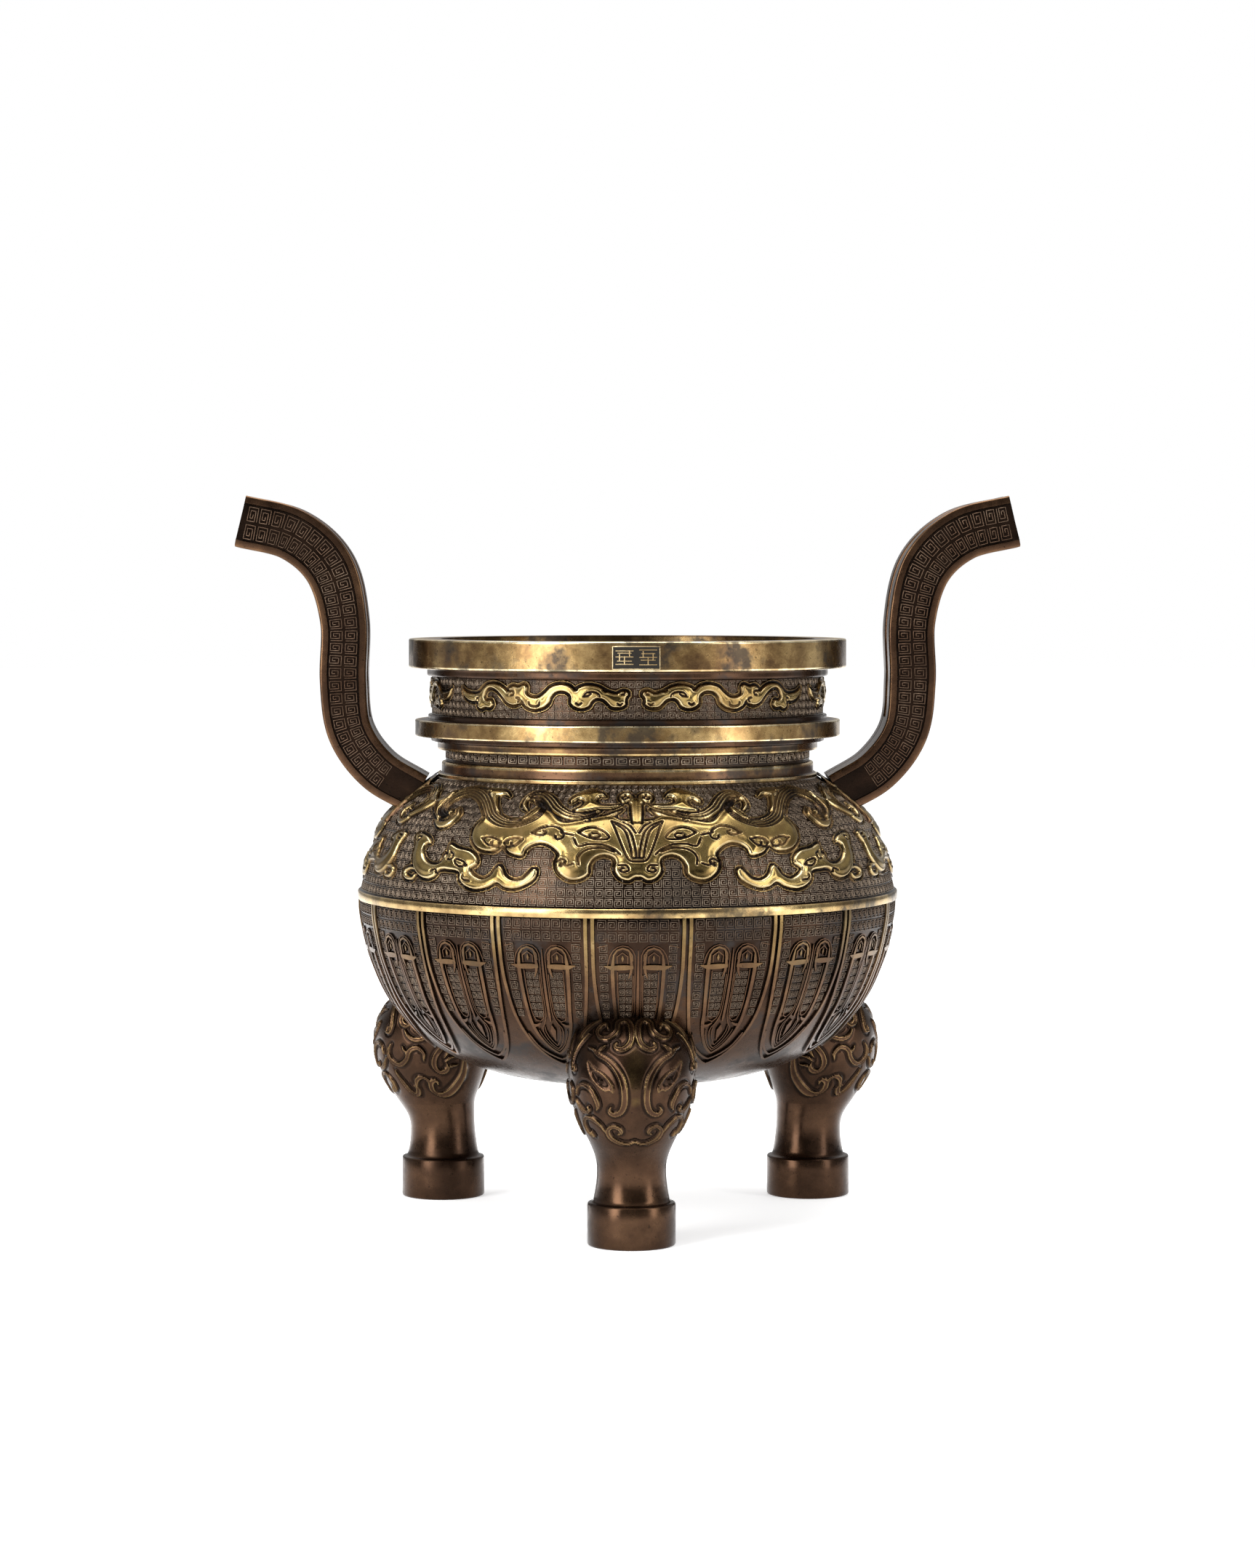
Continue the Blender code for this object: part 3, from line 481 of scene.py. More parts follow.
# The neck's dragons, as half of a facing pair, from the snout to the tail and back
NECK_DRAGON_OUTLINE = (
    (57, 305.7), (55.6, 304), (53.4, 302.9), (50.6, 302.6), (48.7, 304), (47.4, 306.3), (45.2, 308.4),
    (42.2, 308.5), (39.8, 306.6), (38.1, 304.2), (37.8, 306.3), (36.3, 307.6), (34.6, 307.1),
    (32.6, 308.4), (31.5, 307), (31.6, 303.2), (30, 301.4), (28, 301.6), (26.2, 303.9), (24.2, 307.3),
    (21.2, 308.8), (18.4, 307.8), (16.8, 305), (16.2, 306.7), (13.6, 308.4), (10.4, 307.6), (8, 305.1),
    (5.4, 303.6), (3.8, 305.1), (2.2, 304.8), (1.7, 302.6), (2.6, 300), (2.5, 297), (4.2, 295.2),
    (6.4, 295.2), (7.6, 297), (8.8, 299.4), (10.6, 300.2), (12, 298.6), (13, 295.6), (15.2, 294.3),
    (17.3, 295.4), (18.5, 298), (18.5, 301.8), (20.2, 303.9), (22.5, 303.4), (24, 300.6), (24.7, 297.3),
    (26.6, 294.6), (29.6, 293.7), (32.2, 295.5), (33.4, 298.7), (34.3, 296.6), (36.4, 295.8),
    (38.6, 297.4), (40.4, 301), (42.4, 304.2), (44.6, 305.4), (46.2, 303.6), (46.8, 300.8), (46, 298.8),
    (44.3, 299.4), (43.4, 296.6), (44.6, 294), (46.6, 294.3), (48.4, 293.1), (50.2, 295.4), (49.7, 297.5),
    (52, 297.3), (54.6, 298.5), (56.6, 301.6),
)
NECK_DRAGON_ENGRAVING = (
    ((30.9, 298.2), (30.4, 296.3), (29, 295.8), (27.8, 296.4), (27.5, 298.2)),
    ((14.4, 301.8), (13.6, 303.8), (11.8, 304.3), (10.4, 303.4), (9.9, 301.6)),
    ((14.4, 301.8), (13, 302.2), (12.4, 303.2)),
    ((37.4, 304.4), (36.2, 304.4), (35.9, 302.6), (37, 302)),
    ((34.9, 300.6), (33.9, 300), (34.4, 298.4)),
    ((50.2, 299.6), (49.2, 300), (49.2, 298.6)),
    ((5, 297.8), (4.2, 296.8), (3.6, 297.8)),
    ((3.9, 302.8), (3, 303.2), (3, 304.4)),
    ((9, 305.2), (8.2, 304.4), (7.6, 305.2)),
    ((16.6, 298), (15.8, 297), (15, 298)),
)


def neck_relief():
    """The neck's pair of dragons."""
    relief = Relief(NECK, NECK_MM_A_DEGREE, DRAGON_SPACING, DRAGON_HALF_ANGLE, DRAGON_HEIGHTS)
    relief.add_plate(NECK_DRAGON_OUTLINE)
    relief.engrave(NECK_DRAGON_ENGRAVING, 0.55)
    return relief


# Ribbons: thin raised lines

def ribbon(line, width, closed=False):
    """Places left and right of a line, mitred at its corners."""
    line = np.array(line, float)
    width = np.broadcast_to(width, len(line))[:, None]
    step = np.diff(np.vstack([line, line[:1]]) if closed else line, axis=0)
    step /= np.linalg.norm(step, axis=1)[:, None]
    before = np.vstack([step[-1:] if closed else step[:1], step[: len(line) - 1]])
    after = step if closed else np.vstack([step, step[-1:]])
    side = np.stack([-(before + after)[:, 1], (before + after)[:, 0]], axis=1)
    side /= np.maximum(1.0 + (before * after).sum(axis=1), 0.35)[:, None]
    return line - side * width / 2, line + side * width / 2


class Ribbons:
    """Many raised lines on one turned surface, gathered into one mesh."""

    def __init__(self, surface):
        self.surface = surface
        self.points, self.faces, self.lift, self.gilt = [], [], [], []
        self.count = 0

    def add(self, left, right, height, lift, gilt, keep=None, root=-0.3, closed=False, flank=0.22):
        """Left and right hold (angle, arc) for copies x places. Keep says which segments stay."""
        copies, places = left.shape[:2]
        lifts = (root, height, height, root)
        edges = [left, left * (1 - flank) + right * flank, right * (1 - flank) + left * flank, right]
        stack = [self.surface.place(e[..., 0], e[..., 1], h) for e, h in zip(edges, lifts)]
        self.points.append(np.stack(stack, axis=2).reshape(-1, 3))
        segments = places if closed else places - 1
        first = np.arange(segments)
        after = (first + 1) % places
        strips = []
        for k in range(3):
            near, far = first * 4 + k, after * 4 + k
            strips.append(np.stack([near, near + 1, far + 1, far], axis=-1))
        faces = np.stack(strips, axis=1)[None] + (np.arange(copies) * places * 4)[:, None, None, None]
        if keep is not None:
            faces = faces[keep]
        self.faces.append(faces.reshape(-1, 4) + self.count)
        shade = np.array([0.0, lift, lift, 0.0])
        glow = np.array([0.0, gilt, gilt, 0.0])
        self.lift.append(np.tile(shade, copies * places))
        self.gilt.append(np.tile(glow, copies * places))
        self.count += copies * places * 4

    def piece(self, name, material, slot="patinated_bronze", angle=None):
        return make_piece(name, np.vstack(self.points), np.vstack(self.faces), np.concatenate(self.lift),
                          np.concatenate(self.gilt), material, slot, angle)


def square_spiral(turns, gap):
    """A square spiral from its outer corner inwards, in a cell from -1 to 1."""
    reach = 1.0 - gap / 2
    line = [(-reach, -reach)]
    for turn in range(turns):
        side = reach - turn * gap
        line += [(side, -side), (side, side), (-side, side), (-side, -side + gap)]
    return line + [(0.0, line[-1][1])]


SPIRAL = square_spiral(2, 0.38)


def spiral_field(ribbons, angles, arcs, half_angle, half_arc, height, line, lift, gilt, keep_at=None):
    """Square spirals at each centre, every other one turned round."""
    metric = float(ribbons.surface.radius(arcs.mean())) * math.pi / 180
    path = np.array(SPIRAL) * np.array([half_angle * metric, half_arc])
    left, right = ribbon(path, line)
    scale = np.array([1.0 / metric, 1.0])
    flip = np.where(np.arange(len(angles)) % 2, -1.0, 1.0)[:, None, None] * np.array([1.0, 1.0])
    centres = np.stack([angles, arcs], axis=1)[:, None, :]
    lefts = centres + left[None] * scale * flip
    rights = centres + right[None] * scale * flip
    keep = None
    if keep_at is not None:
        middle = (lefts[:, :-1] + rights[:, :-1] + lefts[:, 1:] + rights[:, 1:]) / 4
        keep = keep_at(middle[..., 0], middle[..., 1])
    ribbons.add(lefts, rights, height, lift, gilt, keep)


def clear_of(relief, reach):
    """A test of places that lie outside a relief that repeats three times around."""
    def test(angle, s):
        local = (angle - ORNAMENT_TURN + 60.0) % 120.0 - 60.0
        return relief.far_at(local, s) > reach
    return test


def off_collars(angle, s):
    """Whether a place on the shoulder is outside both handles' collars."""
    away = np.abs((angle + 360.0) % 180.0 - 90.0)
    half = np.degrees((HANDLE_WIDTH / 2 + COLLAR_MARGIN - 1.0) / BODY.radius(s))
    return (away > half) | (s > BODY.arc(COLLAR_LOW_Z + 1.0))


def even_cells(top, pitch, rows, around):
    """Arc lengths and angles of the centres of cells in rows around a surface."""
    arcs = top + pitch * (np.arange(rows) + 0.5)
    arcs, angles = np.meshgrid(arcs, np.arange(around) * 360.0 / around, indexing="ij")
    return arcs.ravel(), angles.ravel()


def shoulder_spirals(relief, material):
    """The ground of square spirals between the masks."""
    ribbons = Ribbons(BODY)
    top, low = float(BODY.arc(SHOULDER_TOP_Z - 0.6)), float(BODY.arc(BELLY_Z + BAND_WIDTH / 2 + 0.4))
    rows, around = 15, 180
    pitch = (low - top) / rows
    outside = clear_of(relief, PATCH_EDGE - 0.1)
    arcs, angles = even_cells(top, pitch, rows, around)
    angles = angles + ORNAMENT_TURN
    near = clear_of(relief, -3.6)(angles, arcs)
    angles, arcs = angles[near], arcs[near]
    spiral_field(ribbons, angles, arcs, 180.0 / around * 0.985, pitch / 2 * 0.985, 0.6, 0.5, 0.9, 0.0,
                 lambda a, s: outside(a, s) & off_collars(a, s))
    ribbons.piece("shoulder_spirals", material)


def neck_spirals(relief, material):
    """The finer ground of square spirals between the neck's dragons."""
    ribbons = Ribbons(NECK)
    rows, around = 5, 156
    pitch = (MOULDINGS[7][0] - 0.6) / rows
    arcs, angles = even_cells(0.3, pitch, rows, around)
    spiral_field(ribbons, angles, arcs, 180.0 / around * 0.985, pitch / 2 * 0.985, 0.5, 0.44, 0.9, 0.0,
                 clear_of(relief, PATCH_EDGE - 0.1))
    ribbons.piece("neck_spirals", material)


def fret_spirals(material):
    """The narrow key fret under the flange, with a fine line below it."""
    ribbons = Ribbons(FRET)
    around = 90
    angles = np.arange(around) * 360.0 / around + ORNAMENT_TURN
    spiral_field(ribbons, angles, np.full(around, 2.75), 180.0 / around * 0.95, 2.45, 0.7, 0.62, 0.95, 0.12)
    ring = np.linspace(0.0, 360.0, 361)[None, :]
    for edges in ((5.5, 6.0), (6.2, 6.6)):
        low, high = [np.stack([ring, np.full_like(ring, arc)], axis=-1) for arc in edges]
        ribbons.add(low, high, 0.5, 0.6, 0.1)
    ribbons.piece("key_fret", material)


# Lappets: half of one as strokes of (angle, height, width), with the ridge's height and how gilt it is
LAPPET_BAR = (
    (9.28, 183.4, 2.5), (9.28, 168, 2.5), (9.25, 154, 2.5), (9, 142, 2.5), (8.5, 130, 2.5),
    (7.6, 119.5, 2.5), (6.1, 110.5, 2.4), (3.9, 104, 2.3), (1.6, 100.2, 2.1), (0, 98.8, 1.8),
)
LAPPET_STROKES = (
    (LAPPET_BAR, 1.35, 0.66),
    (((6.6, 119.8, 0.7), (6.2, 117, 2), (5.1, 111.2, 2.1), (3.1, 105.7, 1.9), (1.2, 102.8, 1.7),
      (0, 101.8, 1.5)), 1.15, 0.25),
    (((5, 165.5, 0.8), (5.2, 161, 2.2), (5.3, 156, 2.7), (5.2, 145, 2.6), (4.9, 133, 2.5),
      (4.7, 126, 2.7), (4, 119.5, 2.5), (2.5, 112.6, 2.3), (1, 108.2, 2), (0, 106.2, 1.6)), 1.3, 0.5),
    (((4.6, 124.6, 2.8), (3.5, 124.8, 2.1), (2.5, 126.3, 0.8)), 1.22, 0.4),
    (((7, 159.3, 0.5), (6, 158.4, 2.4), (4.8, 158.3, 3.8), (3.2, 158.5, 3.6), (1.6, 158.5, 3.6),
      (1, 158.7, 2.4)), 1.38, 0.6),
    (((1.8, 167, 0.6), (1.4, 162, 1.7), (1.35, 158, 2.1), (1.6, 155, 1.5), (2, 152.4, 0.4)), 1.26, 0.45),
    (((5.15, 162, 0.9), (4.95, 166, 1.1), (4.1, 168.3, 1.3), (3.1, 169.1, 1.4), (2.1, 168.2, 1.3),
      (1.3, 165.6, 1.1), (1.15, 162, 0.9)), 1.2, 0.4),
    (((6.3, 159.4, 0.5), (6, 163.4, 0.6), (5.2, 167.6, 0.6), (3.9, 170.1, 0.6), (3, 170.4, 0.6),
      (1.9, 169.7, 0.6), (0.75, 166, 0.6), (0.62, 158, 0.6), (0.7, 145, 0.6), (0.75, 132, 0.6),
      (1.5, 126.4, 0.7), (2.5, 122.4, 0.8), (2.1, 117.4, 0.8), (1, 112.6, 0.8), (0, 110, 0.8)),
     0.95, 0.15),
    (((4.3, 156, 0.5), (4.25, 145, 0.6), (4.05, 133, 0.6), (3.6, 128.4, 0.6), (2.9, 127, 0.6),
      (2, 127.8, 0.6), (1.3, 131, 0.6), (1.05, 140, 0.6), (1, 154, 0.6)), 0.9, 0.15),
    (((3.5, 122, 0.5), (3.1, 118.6, 0.8), (1.8, 112.6, 0.9), (0, 108.2, 0.9)), 0.95, 0.15),
    (((1.8, 124.2, 0.5), (1.85, 120.8, 0.8), (1.2, 116.6, 0.8), (0, 112.4, 0.8)), 0.95, 0.15),
    (((4.3, 160.6, 0.6), (4.35, 164.2, 0.6), (3.9, 166, 0.6), (3.2, 166.6, 0.6), (2.45, 165.9, 0.6),
      (2.1, 164, 0.6), (2.15, 160.6, 0.6)), 0.95, 0.3),
    (((3.2, 165, 0.3), (3.2, 163.3, 1.8), (3.2, 161.6, 0.3)), 0.9, 0.6),
    (((8.35, 169.4, 0.5), (6.4, 170.4, 0.5)), 0.6, 0.05),
)
LAPPET_MIDDLES = (
    (((0, 168, 0.4), (0, 160, 1.2), (0, 145, 1.9), (0, 132, 2), (0, 127, 1)), 1.1, 0.2),
    (((0, 125, 0.4), (0, 123, 3), (0, 121, 5.4), (0, 118.4, 2.6), (0, 115.6, 0.4)), 1.1, 0.4),
)
# Cells of a lappet's ground as (angle, height, half angle, half height)
LAPPET_COLUMNS = (
    ((7.4, 5.28, 3.17, 1.06), (179, 172.4), 1.03, 3.2),
    ((7.15,), (166.2, 160.8, 155.2, 149.8, 144.4, 139), 0.98, 2.6),
    ((6.95,), (133.8, 128.6), 0.85, 2.5),
    ((3.42, 1.95), (150.4, 146, 141.6, 137.2, 132.8, 128.4), 0.7, 2.1),
)
FIGURE_DROP = 2.7
GOLD_FADES_FROM, GOLD_FADES_TO = 178.0, 134.0


def lappet_ribbon(stroke, metric):
    """A stroke of a lappet as its two edges in the flat."""
    drop = 0.0 if stroke is LAPPET_BAR else FIGURE_DROP
    rows = []
    for angle, z, width in stroke:
        lowered = z - drop * float(smoothstep(101.0, 116.0, z))
        rows.append((angle * metric, float(BODY.arc(lowered)), width))
    length = sum(math.dist(a[:2], b[:2]) for a, b in zip(rows, rows[1:]))
    line = smooth_line(rows, max(3, round(length / 3.0)))
    return ribbon(line[:, :2], line[:, 2])


def around_bowl(flat, metric, mirrored, copies):
    """A line in the flat, given its places around the bowl."""
    places = flat * np.array([(-1.0 if mirrored else 1.0) / metric, 1.0])
    turns = np.arange(copies) * 360.0 / copies
    return places[None] + np.stack([turns, np.zeros(copies)], axis=1)[:, None, :]


def fade_gold(ribbons):
    """Less gilt lower down, towards the lappets' points."""
    heights = np.vstack(ribbons.points)[:, 2]
    kept = 0.25 + 0.75 * smoothstep(GOLD_FADES_TO, GOLD_FADES_FROM, heights)
    ribbons.gilt = [np.concatenate(ribbons.gilt) * kept]


def lappets(material, ground):
    """Eighteen hanging tongues with their bars, twin arches, loops and nested points."""
    metric = BELLY_RADIUS * math.pi / 180
    ribbons = Ribbons(BODY)
    spirals = Ribbons(BODY)
    for stroke, height, gilt in LAPPET_STROKES:
        edges = lappet_ribbon(stroke, metric)
        for mirrored in (False, True):
            ordered = edges[::-1] if mirrored else edges
            first, second = [around_bowl(edge, metric, mirrored, LAPPETS) for edge in ordered]
            ribbons.add(first, second, height, 0.62, gilt, flank=0.12)
    for stroke, height, gilt in LAPPET_MIDDLES:
        first, second = [around_bowl(edge, metric, False, LAPPETS) for edge in lappet_ribbon(stroke, metric)]
        ribbons.add(first, second, height, 0.62, gilt, flank=0.12)
    fade_gold(ribbons)
    turns = np.arange(LAPPETS) * 360.0 / LAPPETS
    for columns, heights, half_angle, half_arc in LAPPET_COLUMNS:
        for column, sign, z in itertools.product(columns, (1.0, -1.0), heights):
            arcs = np.full(LAPPETS, float(BODY.arc(z)))
            spiral_field(spirals, turns + sign * column, arcs, half_angle, half_arc, 0.6, 0.5, 0.7, 0.0)
    lines = ribbons.piece("lappet_lines", material, angle=ORNAMENT_TURN)
    lines.data.set_sharp_from_angle(angle=math.radians(40))
    spirals.piece("lappet_spirals", ground, angle=ORNAMENT_TURN)


# The bowl itself

def round_corner(before, corner, after, radius, steps=4):
    """An arc in place of a corner, no longer than either side allows."""
    a, b = before - corner, after - corner
    la, lb = np.linalg.norm(a), np.linalg.norm(b)
    a, b = a / la, b / lb
    half = math.acos(float(np.clip(a @ b, -1, 1))) / 2
    if half > 1.5 or radius <= 0:
        return [corner]
    cut = min(radius / math.tan(half), la * 0.45, lb * 0.45)
    start, end = corner + a * cut, corner + b * cut
    t = np.linspace(0.0, 1.0, steps)[:, None]
    return list((1 - t) ** 2 * start + 2 * t * (1 - t) * corner + t**2 * end)


def bowl_outline():
    """Rows of (radius, height, brightness, gilt) from inside the mouth, over the rim, to the bottom."""
    rows = [(NECK_RADIUS - WALL, RIM_TOP_Z, 0.5, 0.45, 1.5)]
    z = RIM_TOP_Z
    for height, radius, gilt, shade, corner in reversed(MOULDINGS):
        rows += [(radius, z, shade, gilt, corner), (radius, z - height, shade, gilt, corner)]
        z -= height
    corners = [rows[0][:4]]
    for i, (radius, z, shade, gilt, corner) in enumerate(rows[1:], 1):
        top = i % 2 == 1
        before = np.array(rows[i - 1][:2])
        after = np.array(rows[i + 1][:2]) if i + 1 < len(rows) else np.array([radius + 20.0, z - 8.0])
        beside = before if top else after
        # Convex gilt edges: the gilt shows where rubbed, and the brightness is raised by 0.3 as a painted
        # highlight.
        rubbed_and_highlit = radius > beside[0] and gilt > 0.12
        high, gold = (min(1.0, shade + 0.3), 0.95) if rubbed_and_highlit else (shade, gilt)
        face = (radius, z + corner * (-1.3 if top else 1.3), shade, gilt)
        arc = [(*place, high, gold) for place in round_corner(before, np.array([radius, z]), after, corner)]
        corners += [*arc, face] if top else [face, *arc]
    half = BAND_WIDTH / 2
    for s in np.linspace(0.6, BODY.s[-1], 96):
        radius, z = float(BODY.radius(s)), float(np.interp(s, BODY.s, BODY.z))
        if abs(z - BELLY_Z) > half + 0.9:
            corners.append((radius, z, ground_tone_with_painted_light(z), 0.02 if z > BELLY_Z else 0.06))
        elif corners[-1][1] > BELLY_Z + half:
            corners += band_rows(half)
    return np.array(corners)


def ground_tone_with_painted_light(z):
    """The ground is painted lighter at the shoulder's top, as light from above, and on the plain bottom, as a
    floor reflection, than between them.
    """
    if z > BELLY_Z:
        return float(0.42 + 0.16 * smoothstep(215.0, 245.0, z))
    return float(0.31 + 0.14 * smoothstep(146.0, 112.0, z))


def band_rows(half):
    """The plain gilt band around the belly, with its edges rounded."""
    rows = []
    low = BELLY_RADIUS - 0.4
    proud = BELLY_RADIUS + BAND_HEIGHT
    for place in (
        (low, BELLY_Z + half + 0.25), (low + 0.4, BELLY_Z + half), (proud - 0.4, BELLY_Z + half - 0.1),
        (proud, BELLY_Z + half - 0.6), (proud, BELLY_Z), (proud, BELLY_Z - half + 0.6),
        (proud - 0.4, BELLY_Z - half + 0.1), (low + 0.4, BELLY_Z - half), (low, BELLY_Z - half - 0.25),
    ):
        bright = place[0] > low + 0.5
        rows.append((*place, 0.8 if bright else 0.1, 0.95 if bright else 0.1))
    return rows


def inner_outline():
    """The hollow from the bottom of the inside up to the mouth."""
    throat = FRET_RADIUS - WALL
    line = body_outline()[::-1]
    along = np.gradient(line, axis=0)
    along /= np.linalg.norm(along, axis=1)[:, None]
    inside = line + np.stack([-along[:, 1], along[:, 0]], axis=1) * WALL
    inside = inside[(inside[:, 1] < SHOULDER_TOP_Z - 6.0)][::4]
    inside = inside[np.concatenate([[True], inside[1:, 0] > 0.5])]
    inside[0] = (0.0, BOWL_BASE_Z + WALL)
    mouth = NECK_RADIUS - WALL
    top = [(throat, SHOULDER_TOP_Z - 1.0), (throat, FRET_LOW_Z + MOULDINGS[2][0]),
           (throat + 3.4, NECK_LOW_Z - 6.0), (mouth, NECK_LOW_Z), (mouth, RIM_TOP_Z - 1.2)]
    return np.vstack([inside, top])


def turned_mesh(outline, steps):
    """Points and faces of an outline turned about the axis, its rows running down the outer side."""
    angles = np.arange(steps) * 360.0 / steps
    turn = np.radians(angles)[None, :]
    radius, z = outline[:, 0][:, None], outline[:, 1][:, None]
    points = np.stack([radius * np.sin(turn), -radius * np.cos(turn), z + 0 * turn], axis=-1).reshape(-1, 3)
    return points, grid_faces(len(outline), steps, closed=True)


def make_bowl(material):
    """The bowl from the bottom of its inside over the rim and down its outer side."""
    outer = bowl_outline()
    inner = inner_outline()
    # Towards the mouth the inner wall is painted lighter and more gilt: painted light on the far inner wall.
    mouth = smoothstep(NECK_HIGH_Z - 8.0, RIM_LOW_Z, inner[:, 1])
    shades = np.column_stack([inner, 0.3 + 0.4 * mouth, 0.03 + 0.7 * mouth])
    outline = np.vstack([shades, outer])
    points, faces = turned_mesh(outline, TURNED_STEPS)
    lift, gilt = np.repeat(outline[:, 2], TURNED_STEPS), np.repeat(outline[:, 3], TURNED_STEPS)
    piece = make_piece("bowl", points, faces, lift, gilt, material)
    piece.data.set_sharp_from_angle(angle=math.radians(50))
    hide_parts("vessel")


# Half of a knee's mask, as bands of (angle around the leg, height, width)
KNEE_BANDS = (
    ((31, 121.8, 1.2), (35, 123.6, 1.8), (41, 122.4, 2.2), (42, 119.4, 2.4), (35, 117, 2.6),
     (26, 117.8, 2.8), (20, 120.6, 3), (20, 124.4, 3), (12, 125.6, 3.2), (4.6, 123.6, 3.4),
     (3.4, 119.4, 3.4), (4.4, 115.6, 3.2), (9, 112.8, 2.8), (15, 111.8, 2.4), (20, 113.2, 2),
     (17.6, 115, 1.2)),
    ((49, 112, 0.6), (42, 111.2, 1.6), (36, 109, 2.6), (26, 106.4, 3), (17.5, 102, 3.4), (12, 96, 3.6),
     (10, 89, 3.6), (10.6, 82.5, 3.6), (14.5, 78.2, 3.4), (21, 76.8, 2.8), (25.4, 78.8, 2),
     (23, 81.2, 0.8)),
    ((36.5, 109.4, 1.8), (33, 111.8, 2.2), (28, 113.6, 0.6)),
    ((63, 86, 0.8), (60, 90.4, 2), (53, 92.4, 2.6), (45, 91, 2.8), (39, 86.6, 2.8), (36.4, 81.6, 2.4),
     (38.8, 78.6, 0.8)),
    ((66, 84, 0.8), (60, 79.6, 2.2), (53, 77.2, 2.4), (47.6, 78.6, 1.8), (49.4, 80.8, 0.8)),
    ((0, 61.2, 1.4), (8, 59.8, 2), (18, 60.2, 2.2), (29, 63.2, 2.6), (31, 67.2, 2.6), (24, 69.8, 2.4),
     (17, 68.8, 2.2), (15, 66.2, 1.8), (20, 65.4, 0.8)),
    ((34, 66.4, 0.8), (39, 70.6, 1.8), (48, 73.8, 2.4), (57, 73.6, 2.6), (63, 70, 2.6), (62, 65.4, 2.4),
     (54, 63, 1.6), (56, 66, 0.8)),
    ((46, 125, 1.2), (56, 122.6, 2.2), (63, 117.6, 2.6), (61, 114, 2), (57, 116, 1)),
    ((52, 118.6, 0.8), (64, 111.6, 2.2), (70, 105, 2.6), (70, 99.6, 2.2), (65, 99.4, 1.6),
     (66, 102.6, 0.8)),
    ((84, 121, 1.6), (80, 112, 2.8), (82, 106, 2.8), (90, 104, 2.2), (94, 108, 1.4), (88, 109, 0.8)),
    ((96, 104, 0.8), (104, 101.6, 2.4), (112, 103.6, 2.8), (114, 108.6, 2.4), (108, 110.6, 1.4),
     (107, 107, 0.8)),
    ((88, 101.6, 0.8), (94, 97.4, 2.2), (102, 95.8, 2.6), (111, 97.6, 2.6), (117, 102, 2),
     (120, 99, 0.8)),
    ((74, 92.6, 0.8), (70, 88, 2.4), (74, 82.6, 2.8), (84, 80.6, 2.8), (92, 84, 2.6), (96, 89.4, 2.8),
     (104, 91, 2.6), (110, 87.6, 2.2), (110, 83.4, 0.8)),
    ((88, 91.6, 0.8), (91, 88.6, 2), (95, 87.4, 0.8)),
    ((122, 117.6, 0.8), (130, 113, 2), (136, 106, 2.4), (138, 99, 2.6), (134, 94.6, 2.6), (127, 91, 3),
     (121, 85.6, 3), (121, 79.6, 3), (127, 76.4, 2.8), (134, 78.4, 2.2), (133, 82, 0.8)),
    ((140, 92.6, 0.8), (146, 88, 2.4), (152, 82, 2.8), (152, 74.6, 3.2), (146, 68, 3.4), (136, 63.4, 3.4),
     (125, 62.6, 3.2), (117, 65.4, 2.8), (116, 70, 2.4), (122, 71.6, 2), (124, 68.6, 0.8)),
    ((76, 77, 0.8), (81, 71, 2.4), (88, 64.6, 2.8), (96, 62.6, 2.6), (99, 66.4, 2.2), (94, 68.4, 0.8)),
    ((98, 66.6, 0.8), (100, 71.4, 2.2), (106, 73.4, 2.4), (113, 71.6, 2.4), (117, 67.4, 1.8)),
    ((139, 90, 0.6), (134, 88.6, 1.8), (130, 85, 0.6)),
    ((143, 86, 0.6), (137, 85.4, 1.8), (131, 82.6, 0.6)),
    ((146, 80.6, 0.6), (140, 80.4, 1.8), (135, 79, 0.6)),
)
KNEE_EYE = (
    (20, 88.4), (20.4, 92.8), (25, 96.6), (31, 99.6), (37, 101), (42, 103.4), (48, 105.4), (46.6, 101.2),
    (43, 97), (36, 92.4), (28, 89.4), (24, 90),
)
KNEE_EYE_INNER = (
    (25, 92.6), (26, 94.8), (31, 97.4), (36.6, 99), (41.6, 100), (40, 97), (34.6, 93.6), (29, 91.8),
)
KNEE_PUPIL = (33.0, 95.2, 1.8)
KNEE_TURN, MASK_REACH = 2.7, 158.0
KNEE_MESH_LOW_Z = 56.0
LOWER_LEG_STEPS = 96


def knee_columns():
    """Angles around a knee, close together where its mask is."""
    front = np.linspace(-MASK_REACH, MASK_REACH, 400)
    back = np.linspace(MASK_REACH, 360.0 - MASK_REACH, 12)[1:-1]
    return np.concatenate([front, back])


def knee_line(points, closed=False):
    """Places (angle, height, width) on a knee as a smooth line of (u, v, half width)."""
    rows = []
    for place in points:
        arc = float(KNEE.arc(place[1]))
        width = place[2] / 2 if len(place) > 2 else 0.0
        rows.append((math.radians(place[0]) * float(KNEE.radius(arc)), arc, width))
    length = sum(math.dist(a[:2], b[:2]) for a, b in zip(rows, rows[1:]))
    return smooth_line(rows, max(8, round(length)), closed)


